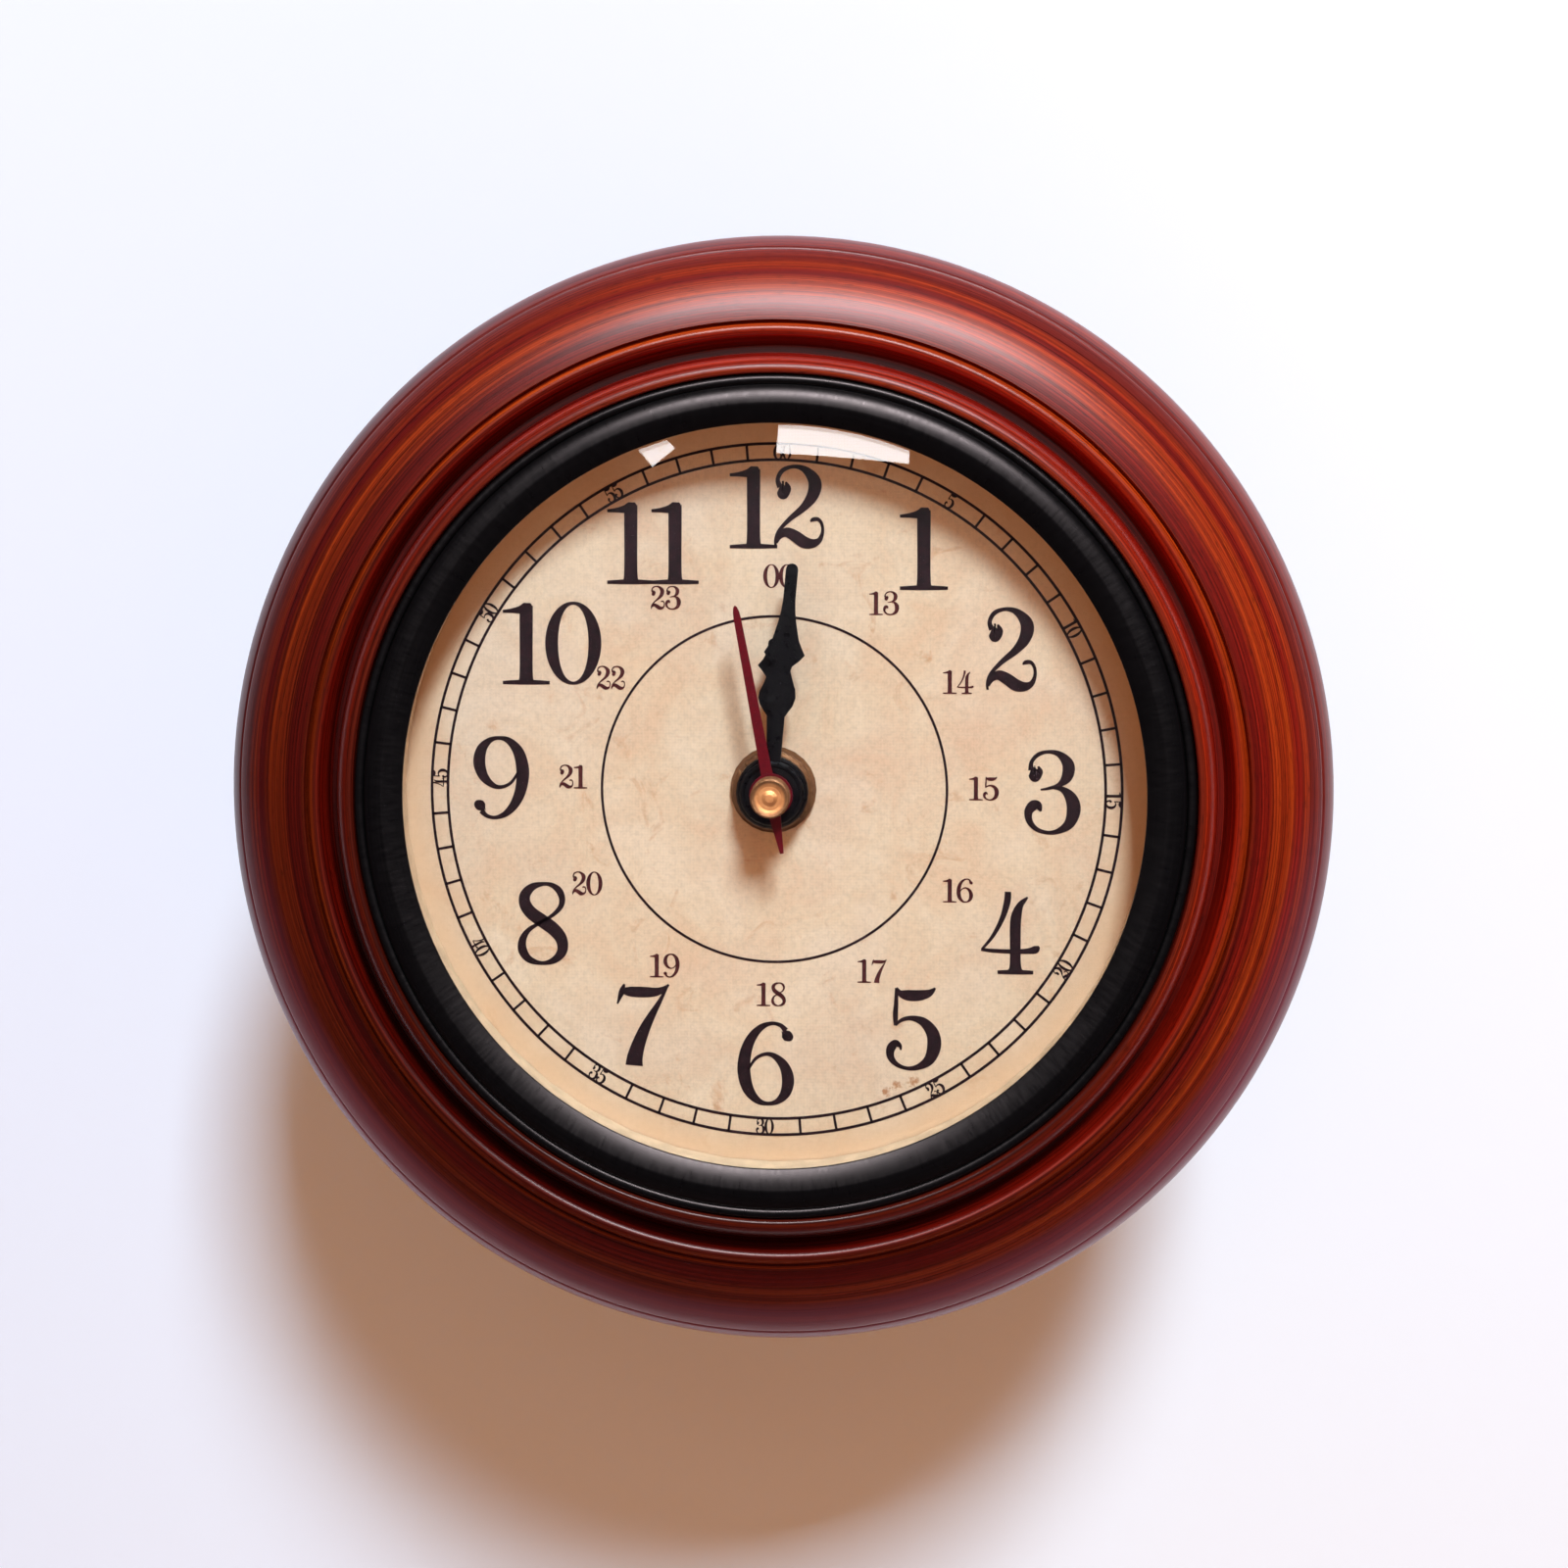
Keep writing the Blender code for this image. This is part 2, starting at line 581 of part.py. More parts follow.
def make_wooden_case():
    bead_crest = FRONT_BORE_RADIUS + INNER_BEAD_SHOULDER
    bead_reach = INNER_BEAD_WIDTH - INNER_BEAD_SHOULDER
    groove_start = FRONT_BORE_RADIUS + INNER_BEAD_WIDTH
    groove_end = groove_start + GROOVE_WIDTH
    groove_floor = CASE_DEPTH - GROOVE_DROP
    outer_half = OUTER_BEAD_WIDTH / 2
    outer_start = groove_end + GROOVE_SLOPE_WIDTH
    outer_base = CASE_DEPTH - OUTER_BEAD_DROP
    quirk_start = outer_start + OUTER_BEAD_WIDTH
    ovolo_reach = CASE_RADIUS - OVOLO_CENTRE_RADIUS
    ovolo_rise = CASE_DEPTH - OVOLO_CREST_DROP - BELLY_HEIGHT
    ovolo_start = math.degrees(math.acos((quirk_start + QUIRK_WIDTH - OVOLO_CENTRE_RADIUS) / ovolo_reach))
    ovolo_end = math.acos((OVOLO_EDGE_RADIUS - OVOLO_CENTRE_RADIUS) / ovolo_reach)
    edge_height = BELLY_HEIGHT + ovolo_rise * math.sin(ovolo_end)
    side_reach = CASE_RADIUS - CASE_BACK_RADIUS
    side_start = math.acos((OVOLO_EDGE_RADIUS + EDGE_STEP - CASE_BACK_RADIUS) / side_reach)
    side_rise = (edge_height - EDGE_STEP - BELLY_HEIGHT) / math.sin(side_start)
    profile = [(FRONT_BORE_RADIUS, CASE_DEPTH - INNER_BEAD_EDGE_DROP)]
    profile += arc((bead_crest, CASE_DEPTH - INNER_BEAD_FALL), (bead_reach, INNER_BEAD_FALL), 90, 0, 5)
    profile += [(groove_start + SUNK, groove_floor), (groove_end, groove_floor)]
    profile += arc((outer_start + outer_half, outer_base), (outer_half, OUTER_BEAD_RISE), 180, 20, 5)
    profile += [(quirk_start + QUIRK_WIDTH / 2, CASE_DEPTH - QUIRK_DROP)]
    ovolo_middle = (OVOLO_CENTRE_RADIUS, BELLY_HEIGHT)
    profile += arc(ovolo_middle, (ovolo_reach, ovolo_rise), ovolo_start, math.degrees(ovolo_end), 6)
    profile += [(OVOLO_EDGE_RADIUS, edge_height - EDGE_STEP)]
    middle = (CASE_BACK_RADIUS, BELLY_HEIGHT)
    profile += arc(middle, (side_reach, side_rise), math.degrees(side_start), 0, 3)
    profile += arc(middle, (side_reach, BELLY_HEIGHT), 0, -90, 6)[1:]
    profile += [
        (REAR_BORE_RADIUS, 0.0),
        (REAR_BORE_RADIUS, SHOULDER),
        (FRONT_BORE_RADIUS, SHOULDER),
    ]
    case = turned("wooden_case", profile, STAINED_WOOD, CASE_STEPS)

    margin = SEAT_GAP
    low = (-HANGER_WIDTH / 2 - margin, HANGER_CENTRE - HANGER_HEIGHT / 2 - margin)
    high = (HANGER_WIDTH / 2 + margin, HANGER_CENTRE + HANGER_HEIGHT / 2 + margin)
    recess = rounded_rectangle(low, high, HANGER_CORNER)
    cut(case, flat("hanger_recess_cutter", [recess], -OVERRUN, HANGER_RECESS_DEPTH, STAINED_WOOD))
    pocket_half = KEYHOLE_RADIUS + NAIL_POCKET_MARGIN
    keyhole_y = HANGER_CENTRE - KEYHOLE_DROP
    pocket_top = keyhole_y + KEYHOLE_SLOT_LENGTH + NAIL_POCKET_MARGIN
    pocket = rounded_rectangle(
        (-pocket_half, keyhole_y - pocket_half), (pocket_half, pocket_top), NAIL_POCKET_MARGIN
    )
    cut(case, flat("nail_pocket_cutter", [pocket], 0.0, NAIL_POCKET_DEPTH, STAINED_WOOD))
    for side, word in ((-1, "left"), (1, "right")):
        place = (side * SCREW_SPACING / 2, HANGER_CENTRE)
        hole_end = SCREW_LENGTH + SEAT_GAP
        radius = SCREW_RADIUS + SEAT_GAP
        cut(case, rod("screw_hole_" + word, radius, 0.0, hole_end, STAINED_WOOD, ARBOR_STEPS, place))
    return case


def glass_height(radius):
    """Height of the dome's inner face at a radius, on a sphere through its edge and its top."""
    sphere = (GLASS_RADIUS**2 + GLASS_RISE**2) / (2 * GLASS_RISE)
    return GLASS_SEAT + GLASS_RISE - sphere + math.sqrt(sphere**2 - radius**2)


def make_domed_glass(rings=7):
    inner = [(GLASS_RADIUS * i / rings, glass_height(GLASS_RADIUS * i / rings)) for i in range(rings + 1)]
    profile = [(r, h + GLASS_THICKNESS) for r, h in inner] + inner[::-1]
    return turned("domed_glass", profile, CLEAR_GLASS, DISC_STEPS, ring=False)


def make_bezel_ring():
    outer = FRONT_BORE_RADIUS - SEAT_GAP
    pocket = GLASS_RADIUS + SEAT_GAP
    lip_under = glass_height(BEZEL_OPENING_RADIUS) + GLASS_THICKNESS + SEAT_GAP
    pocket_top = glass_height(GLASS_RADIUS) + GLASS_THICKNESS + SEAT_GAP
    lip_top = lip_under + BEZEL_LIP_THICKNESS
    bead_half = BEZEL_BEAD_WIDTH / 2
    crest = lip_top + BEZEL_CREST_RISE
    bead_base = crest - BEZEL_CREST_DROP
    fall = outer - BEZEL_BEAD_WIDTH - BEZEL_CREST_RADIUS
    profile = [
        (BEZEL_OPENING_RADIUS, lip_top - BEZEL_LIP_ROUNDING),
        (BEZEL_OPENING_RADIUS + BEZEL_LIP_ROUNDING, lip_top),
    ]
    profile += arc((BEZEL_CREST_RADIUS, bead_base), (fall, BEZEL_CREST_DROP), 90, 0, 4)
    profile += arc((outer - bead_half, bead_base), (bead_half, BEZEL_BEAD_RISE), 150, 0, 4)
    profile += [
        (outer, GLASS_SEAT),
        (pocket, GLASS_SEAT),
        (pocket, pocket_top),
        (BEZEL_OPENING_RADIUS, lip_under),
    ]
    return turned("bezel_ring", profile, BLACK_LACQUER, CASE_STEPS)


def make_dial():
    radius = FRONT_BORE_RADIUS - SEAT_GAP
    bore = BUSH_RADIUS + SEAT_GAP
    spacer_top = SPACER_BACK + SPACER_HEIGHT
    tube("glass_spacer", radius - SPACER_WIDTH, radius, SPACER_BACK, spacer_top, CREAM_CARD, DISC_STEPS)
    tube("dial_card", bore, radius, CARD_BACK, DIAL_FACE, PARCHMENT, DISC_STEPS)
    board_front = BOARD_BACK + DIAL_BOARD_THICKNESS
    tube("dial_board", bore, radius, BOARD_BACK, board_front, HARDBOARD, DISC_STEPS)


def make_fixings():
    """The washers and the slotted nut that clamp the dial to the movement."""
    bore = BUSH_RADIUS + SEAT_GAP
    rubber_front = RUBBER_BACK + RUBBER_WASHER_THICKNESS
    tube("rubber_washer", bore, RUBBER_WASHER_RADIUS, RUBBER_BACK, rubber_front, RUBBER)
    tube("dial_washer", bore, WASHER_RADIUS, WASHER_BACK, WASHER_BACK + WASHER_THICKNESS, BRASS)
    nut_front = NUT_BACK + NUT_HEIGHT
    profile = [
        (bore, nut_front),
        (NUT_RADIUS - NUT_STEP, nut_front),
        (NUT_RADIUS, nut_front - NUT_STEP),
        (NUT_RADIUS, NUT_BACK),
        (bore, NUT_BACK),
    ]
    nut = turned("shaft_nut", profile, BRASS)
    reach = NUT_RADIUS + OVERRUN
    slot = block(
        "nut_slot_cutter",
        (-reach, -NUT_SLOT_WIDTH / 2, nut_front - NUT_SLOT_DEPTH),
        (reach, NUT_SLOT_WIDTH / 2, nut_front + OVERRUN),
        BRASS,
    )
    slot.rotation_euler = (0.0, 0.0, NUT_SLOT_ANGLE)
    cut(nut, slot)


# Movement box


def boss(name, bottom, top, place, bore=ARBOR_RADIUS + BEARING_GAP):
    return tube(name, bore, BOSS_RADIUS, bottom, top, BLACK_PLASTIC, ARBOR_STEPS, place)


def bay_edges():
    """The battery bay's lower and upper limits up the dial, and the low edge of the wheels' chamber."""
    low = -MOVEMENT_HEIGHT / 2 + MOVEMENT_WALL
    high = low + BAY_WIDTH
    return low, high, high + MOVEMENT_WALL


def make_movement_case():
    half = MOVEMENT_WIDTH / 2
    top = MOVEMENT_HEIGHT / 2
    inner = half - MOVEMENT_WALL
    bay_low, bay_high, chamber_low = bay_edges()
    outline = rounded_rectangle((-half, -top), (half, top), MOVEMENT_CORNER)
    case = flat("movement_case", [outline], MOVEMENT_BACK, MOVEMENT_FRONT, BLACK_PLASTIC)
    corner = MOVEMENT_CORNER - MOVEMENT_WALL
    bay = rounded_rectangle((-inner, bay_low), (inner, bay_high), corner, 2)
    chamber = rounded_rectangle((-inner, chamber_low), (inner, top - MOVEMENT_WALL), corner, 2)
    cut(case, flat("bay_cutter", [bay], 0.0, FLOOR_FACE, BLACK_PLASTIC))
    cut(case, flat("chamber_cutter", [chamber], 0.0, FLOOR_FACE, BLACK_PLASTIC))
    notch_out = contact_offset() + CONTACT_THICKNESS
    notch_in = contact_offset() - CONTACT_THICKNESS
    notch_top = ARBOR_BACK + CONTACT_HEIGHT + SEAT_GAP
    for side, word in ((-1, "left"), (1, "right")):
        ends = sorted((side * notch_in, side * notch_out))
        low = (ends[0], bay_high - MOVEMENT_WALL, 0.0)
        high = (ends[1], chamber_low + MOVEMENT_WALL, notch_top)
        cut(case, block("contact_notch_" + word, low, high, BLACK_PLASTIC))
    sunk_floor = FLOOR_FACE + MOVEMENT_FLOOR / 2
    join(case, rod("bush_body", BUSH_RADIUS, sunk_floor, BUSH_END, BLACK_PLASTIC))
    bore_top = BUSH_END + OVERRUN
    bore_bottom = FLOOR_FACE - OVERRUN
    cut(case, rod("bush_bore", BUSH_BORE_RADIUS, bore_bottom, bore_top, BLACK_PLASTIC))
    boss_end = FLOOR_FACE - FRONT_BOSS_LENGTH
    join(
        case,
        boss("third_front_boss", boss_end, sunk_floor, THIRD_AXIS),
        boss("intermediate_front_boss", boss_end, sunk_floor, INTERMEDIATE_AXIS),
        boss("rotor_front_boss", boss_end, sunk_floor, ROTOR_AXIS),
        boss("knob_front_boss", boss_end, sunk_floor, KNOB_AXIS),
    )
    post_end = MINUTE_WHEEL_BACK + WHEEL_THICKNESS + SEAT_GAP
    post_radius = 2 * ARBOR_RADIUS
    join(case, rod("motion_post", post_radius, post_end, sunk_floor, BLACK_PLASTIC, ARBOR_STEPS, MOTION_AXIS))
    return case


def make_movement_cover():
    inner = MOVEMENT_WIDTH / 2 - MOVEMENT_WALL - SEAT_GAP
    top = MOVEMENT_HEIGHT / 2 - MOVEMENT_WALL - SEAT_GAP
    low = bay_edges()[2] + SEAT_GAP
    corner = MOVEMENT_CORNER - MOVEMENT_WALL
    outline = rounded_rectangle((-inner, low), (inner, top), corner, 2)
    cover = flat("movement_cover", [outline], MOVEMENT_BACK, COVER_FACE, BLACK_PLASTIC)
    well_radius = KNOB_RADIUS + KNOB_WELL_GAP
    well_floor = MOVEMENT_BACK + SEAT_GAP + KNOB_HEIGHT + SEAT_GAP
    well_front = well_floor + KNOB_WELL_WALL
    sunk = MOVEMENT_BACK + MOVEMENT_FLOOR / 2
    rim = well_radius + KNOB_WELL_WALL
    join(cover, rod("knob_well_body", rim, sunk, well_front, BLACK_PLASTIC, place=KNOB_AXIS))
    cut(cover, rod("knob_well_cutter", well_radius, 0.0, well_floor, BLACK_PLASTIC, place=KNOB_AXIS))
    hole = KNOB_SHAFT_RADIUS + BEARING_GAP
    hole_end = well_front + OVERRUN
    cut(cover, rod("knob_shaft_hole", hole, sunk, hole_end, BLACK_PLASTIC, BORE_STEPS, KNOB_AXIS))
    second_bore = SECOND_ARBOR_RADIUS + BEARING_GAP
    join(
        cover,
        boss("second_boss", sunk, SECOND_WHEEL_BACK - SEAT_GAP, CENTRE, second_bore),
        boss("third_boss", sunk, INTERMEDIATE_WHEEL_BACK, THIRD_AXIS),
        boss("intermediate_boss", sunk, INTERMEDIATE_WHEEL_BACK - SEAT_GAP, INTERMEDIATE_AXIS),
        boss("rotor_boss", sunk, MAGNET_BACK - SEAT_GAP, ROTOR_AXIS),
    )
    for index, place in enumerate(core_ends()):
        name = "stator_peg_" + str(index + 1)
        join(cover, rod(name, PEG_RADIUS, sunk, STATOR_BACK - SEAT_GAP, BLACK_PLASTIC, ARBOR_STEPS, place))
    return cover


# Motor and circuit


def core_ends():
    """Middles of the two stator pads, under the ends of the coil's core."""
    reach = CORE_LENGTH / 2 - STATOR_ARM_WIDTH / 2
    return (COIL_CENTRE_X - reach, COIL_CENTRE_Y), (COIL_CENTRE_X + reach, COIL_CENTRE_Y)


def make_stator():
    """One flat plate: a ring round the magnet, with an arm to each end of the coil's core."""
    left, right = core_ends()
    half = STATOR_ARM_WIDTH / 2
    pad_top = COIL_CENTRE_Y + CORE_WIDTH / 2
    coil_low = COIL_CENTRE_Y - COIL_FLANGE_RADIUS - SEAT_GAP
    ring = (STATOR_RING_RADIUS, STATOR_RING_RADIUS)
    arm_rise = math.degrees(math.atan2(coil_low - half - ROTOR_AXIS[1], right[0] - ROTOR_AXIS[0]))
    outline = arc(ROTOR_AXIS, ring, 112, 360 + arm_rise - 22, 14)
    outline += [
        (right[0], coil_low - STATOR_ARM_WIDTH),
        (right[0] + half, coil_low - half),
        (right[0] + half, pad_top),
        (right[0] - half, pad_top),
        (right[0] - half, coil_low),
    ]
    outline += arc(ROTOR_AXIS, ring, arm_rise + 26, 74, 2)
    outline += [(left[0] + half, coil_low), (left[0] + half, pad_top), (left[0] - half, pad_top)]
    hole = circle(STATOR_HOLE_RADIUS, BORE_STEPS, ROTOR_AXIS)
    flat("stator", [outline, hole], STATOR_BACK, STATOR_BACK + STATOR_THICKNESS, STEEL)


def make_coil():
    core_back = STATOR_BACK + STATOR_THICKNESS + SEAT_GAP
    middle = core_back + STATOR_THICKNESS / 2
    half = COIL_LENGTH / 2
    barrel_end = half - COIL_FLANGE_THICKNESS
    profile = [
        (COIL_BORE_RADIUS, half),
        (COIL_FLANGE_RADIUS, half),
        (COIL_FLANGE_RADIUS, barrel_end),
        (COIL_BARREL_RADIUS, barrel_end),
        (COIL_BARREL_RADIUS, -barrel_end),
        (COIL_FLANGE_RADIUS, -barrel_end),
        (COIL_FLANGE_RADIUS, -half),
        (COIL_BORE_RADIUS, -half),
    ]
    place = (COIL_CENTRE_X, COIL_CENTRE_Y)
    bobbin = turned("coil_bobbin", profile, WHITE_PLASTIC, BORE_STEPS, place=place, cross=True)
    bobbin.location.z = middle
    end = barrel_end - SEAT_GAP
    wound = [
        (COIL_BARREL_RADIUS + BEARING_GAP, end),
        (COIL_FLANGE_RADIUS - SEAT_GAP, end),
        (COIL_FLANGE_RADIUS - SEAT_GAP, -end),
        (COIL_BARREL_RADIUS + BEARING_GAP, -end),
    ]
    winding = turned("coil_winding", wound, COPPER, BORE_STEPS, place=place, cross=True)
    winding.location.z = middle
    half_core = CORE_LENGTH / 2
    low = (COIL_CENTRE_X - half_core, COIL_CENTRE_Y - CORE_WIDTH / 2, core_back)
    high = (COIL_CENTRE_X + half_core, COIL_CENTRE_Y + CORE_WIDTH / 2, core_back + STATOR_THICKNESS)
    block("coil_core", low, high, STEEL)


def contact_offset():
    """Distance of the contact strips' middle plane from the clock's axis."""
    return BATTERY_LENGTH / 2 + SEAT_GAP + CONTACT_THICKNESS / 2


def board_corners():
    right = contact_offset() - CONTACT_THICKNESS / 2 - SEAT_GAP
    return (right - BOARD_WIDTH, BOARD_LOW_EDGE), (right, BOARD_LOW_EDGE + BOARD_HEIGHT)


def make_circuit():
    low, high = board_corners()
    back = COVER_FACE + SEAT_GAP
    front = back + BOARD_THICKNESS
    block("circuit_board", (*low, back), (*high, front), GREEN_BOARD)
    middle_x = (low[0] + high[0]) / 2
    chip_back = front + SEAT_GAP
    dome = arc((0.0, chip_back), (CHIP_RADIUS, CHIP_HEIGHT), 90, 0, 3) + [(0.0, chip_back)]
    place = (middle_x, BOARD_LOW_EDGE + 2 * CHIP_RADIUS)
    turned("timing_chip", dome, BLACK_PLASTIC, BORE_STEPS, ring=False, place=place)
    can = [
        (0.0, CRYSTAL_LENGTH / 2),
        (CRYSTAL_RADIUS, CRYSTAL_LENGTH / 2),
        (CRYSTAL_RADIUS, -CRYSTAL_LENGTH / 2),
        (0.0, -CRYSTAL_LENGTH / 2),
    ]
    place = (middle_x, high[1] - 2 * CRYSTAL_RADIUS)
    crystal = turned("quartz_crystal", can, STEEL, BORE_STEPS, ring=False, place=place, cross=True)
    crystal.location.z = chip_back + CRYSTAL_RADIUS


def make_contacts():
    offset = contact_offset()
    bottom = ARBOR_BACK
    top = bottom + CONTACT_HEIGHT
    plus_end = BOARD_LOW_EDGE + CONTACT_BOARD_LAP
    strip("battery_contact_plus", [(offset, CONTACT_LOW_END), (offset, plus_end)], bottom, top, STEEL)
    run = bay_edges()[2] + SEAT_GAP + CONTACT_THICKNESS / 2
    well = KNOB_AXIS[0] + KNOB_RADIUS + KNOB_WELL_GAP + KNOB_WELL_WALL
    rise = well + SEAT_GAP + CONTACT_THICKNESS / 2
    path = [
        (-offset, CONTACT_LOW_END),
        (-offset, run),
        (rise, run),
        (rise, BOARD_LOW_EDGE - SEAT_GAP),
    ]
    strip("battery_contact_minus", path, bottom, top, STEEL)


def make_battery():
    bay_low, bay_high = bay_edges()[:2]
    end = BATTERY_LENGTH / 2
    shoulder = end - BATTERY_NUB_LENGTH
    profile = [
        (0.0, end),
        (BATTERY_NUB_RADIUS, end),
        (BATTERY_NUB_RADIUS, shoulder),
        (BATTERY_RADIUS - BATTERY_ROUNDING, shoulder),
        (BATTERY_RADIUS, shoulder - BATTERY_ROUNDING),
        (BATTERY_RADIUS, -end + BATTERY_ROUNDING),
        (BATTERY_RADIUS - BATTERY_ROUNDING, -end),
        (0.0, -end),
    ]
    place = (0.0, (bay_low + bay_high) / 2)
    battery = turned("battery", profile, BATTERY_JACKET, ring=False, place=place, cross=True)
    battery.location.z = FLOOR_FACE - SEAT_GAP - BATTERY_RADIUS


# Wheels


def make_rotor():
    magnet_front = MAGNET_BACK + MAGNET_HEIGHT
    rotor = rod("rotor", MAGNET_RADIUS, MAGNET_BACK, magnet_front, STEEL, place=ROTOR_AXIS)
    top = INTERMEDIATE_WHEEL_BACK + WHEEL_THICKNESS + PINION_REACH
    bottom = magnet_front - PINION_REACH
    join(
        rotor,
        pinion("rotor_pinion", PINION_LEAVES, FINE_MODULE, ROTOR_PHASE, bottom, top, ROTOR_AXIS),
        rod("rotor_arbor", ARBOR_RADIUS, ARBOR_BACK, ARBOR_FRONT, STEEL, ARBOR_STEPS, ROTOR_AXIS),
    )


def compound(name, teeth, module, phase, back, leaf_module, leaf_phase, arbor_radius, arbor_front, place):
    """A wheel with a pinion on its dial side, reaching the next wheel, and an arbor through both."""
    made = wheel(name, teeth, module, phase, back, place)
    top = back + WHEEL_SPACING + WHEEL_THICKNESS + PINION_REACH
    bottom = back + WHEEL_THICKNESS - PINION_REACH
    join(
        made,
        pinion(name + "_pinion", PINION_LEAVES, leaf_module, leaf_phase, bottom, top, place),
        rod(name + "_arbor", arbor_radius, ARBOR_BACK, arbor_front, STEEL, ARBOR_STEPS, place),
    )
    return made


def make_going_train():
    compound(
        "intermediate_wheel", INTERMEDIATE_TEETH, FINE_MODULE, 0.0, INTERMEDIATE_WHEEL_BACK,
        COARSE_MODULE, INTERMEDIATE_PINION_PHASE, ARBOR_RADIUS, ARBOR_FRONT, INTERMEDIATE_AXIS,
    )
    compound(
        "second_wheel", SECOND_TEETH, COARSE_MODULE, 0.0, SECOND_WHEEL_BACK,
        FINE_MODULE, SECOND_PINION_PHASE, SECOND_ARBOR_RADIUS, SECOND_ARBOR_END, CENTRE,
    )
    compound(
        "third_wheel", THIRD_TEETH, FINE_MODULE, THIRD_PHASE, THIRD_WHEEL_BACK,
        MINUTE_MODULE, 0.0, ARBOR_RADIUS, ARBOR_FRONT, THIRD_AXIS,
    )


def make_minute_wheel():
    sunk = MINUTE_WHEEL_BACK + WHEEL_THICKNESS - PINION_REACH
    made = wheel("minute_wheel", MINUTE_TEETH, MINUTE_MODULE, MINUTE_PHASE, MINUTE_WHEEL_BACK)
    cannon_top = MOTION_WHEEL_BACK + WHEEL_THICKNESS + PINION_REACH
    join(
        made,
        pinion("cannon_pinion", CANNON_LEAVES, COARSE_MODULE, 0.0, sunk, cannon_top),
        rod("minute_tube", MINUTE_TUBE_RADIUS, sunk, MINUTE_TUBE_END, WHITE_PLASTIC, BORE_STEPS),
    )
    bore = SECOND_ARBOR_RADIUS + BEARING_GAP
    bottom = MINUTE_WHEEL_BACK - OVERRUN
    cut(made, rod("minute_bore", bore, bottom, MINUTE_TUBE_END + OVERRUN, WHITE_PLASTIC, BORE_STEPS))


def make_motion_wheel():
    made = wheel("motion_wheel", MOTION_TEETH, COARSE_MODULE, MOTION_PHASE, MOTION_WHEEL_BACK, MOTION_AXIS)
    bottom = MOTION_WHEEL_BACK + WHEEL_THICKNESS - PINION_REACH
    join(made, pinion("motion_pinion", PINION_LEAVES, HOUR_MODULE, 0.0, bottom, ARBOR_FRONT, MOTION_AXIS))
    bore = 2 * ARBOR_RADIUS + BEARING_GAP
    low = MOTION_WHEEL_BACK - OVERRUN
    cut(made, rod("motion_bore", bore, low, FLOOR_FACE + OVERRUN, WHITE_PLASTIC, ARBOR_STEPS, MOTION_AXIS))


def make_hour_wheel():
    made = wheel("hour_wheel", HOUR_TEETH, HOUR_MODULE, HOUR_PHASE, HOUR_WHEEL_BACK)
    bottom = HOUR_WHEEL_BACK + WHEEL_THICKNESS - PINION_REACH
    join(made, rod("hour_tube", HOUR_TUBE_RADIUS, bottom, HOUR_TUBE_END, WHITE_PLASTIC))
    bore = MINUTE_TUBE_RADIUS + BEARING_GAP
    low = HOUR_WHEEL_BACK - OVERRUN
    cut(made, rod("hour_bore", bore, low, HOUR_TUBE_END + OVERRUN, WHITE_PLASTIC, BORE_STEPS))


def make_setting_knob():
    back = MOVEMENT_BACK + SEAT_GAP
    front = back + KNOB_HEIGHT
    points = []
    for i in range(2 * KNOB_FLUTES):
        radius = KNOB_RADIUS - KNOB_FLUTE_DEPTH * (i % 2)
        angle = math.pi * i / KNOB_FLUTES
        points.append((radius * math.cos(angle), radius * math.sin(angle)))
    knob = flat("setting_knob", [points], back, front, WHITE_PLASTIC, KNOB_AXIS)
    gear_back = MOTION_WHEEL_BACK - PINION_REACH
    gear_front = MOTION_WHEEL_BACK + WHEEL_THICKNESS + PINION_REACH
    sunk = front - PINION_REACH
    shaft_end = gear_back + PINION_REACH
    join(
        knob,
        rod("knob_shaft", KNOB_SHAFT_RADIUS, sunk, shaft_end, WHITE_PLASTIC, BORE_STEPS, KNOB_AXIS),
        pinion("knob_gear", KNOB_TEETH, COARSE_MODULE, KNOB_PHASE, gear_back, gear_front, KNOB_AXIS),
        rod("knob_pivot", ARBOR_RADIUS, sunk, ARBOR_FRONT, WHITE_PLASTIC, ARBOR_STEPS, KNOB_AXIS),
    )


# Hands


def turned_outline(points, angle):
    """Points drawn along +Y turned clockwise by an angle, as a hand turns."""
    c, s = math.cos(angle), math.sin(angle)
    return [(x * c + y * s, y * c - x * s) for x, y in points]


def blade_outline(shares, length, half_width, end_radius, end_steps):
    """One side of the blade from its root to its end, the rounded end, and the other side back."""
    right = [(half_width * w, length * d) for d, w in shares]
    end = arc((0.0, length - end_radius), (end_radius, end_radius), 0, 180, end_steps)
    return right + end + [(-x, y) for x, y in reversed(right)]


def make_hand(name, shares, length, half_width, end_radius, angle, hub_back, hub_radius, bore):
    hub_front = hub_back + HUB_HEIGHT
    rim = hub_radius - HUB_RIM_WIDTH
    dish = hub_front - HUB_DISH
    profile = [
        (bore, dish),
        (rim - HUB_DISH, dish),
        (rim, hub_front),
        (hub_radius - HUB_DISH, hub_front),
        (hub_radius, dish),
        (hub_radius, hub_back),
        (bore, hub_back),
    ]
    hand = turned(name, profile, BLACK_PAINT)
    outline = turned_outline(blade_outline(shares, length, half_width, end_radius, 6), angle)
    back = hub_back + (HUB_HEIGHT - HUB_DISH - BLADE_THICKNESS) / 2
    join(hand, flat(name + "_blade", [outline], back, back + BLADE_THICKNESS, BLACK_PAINT))


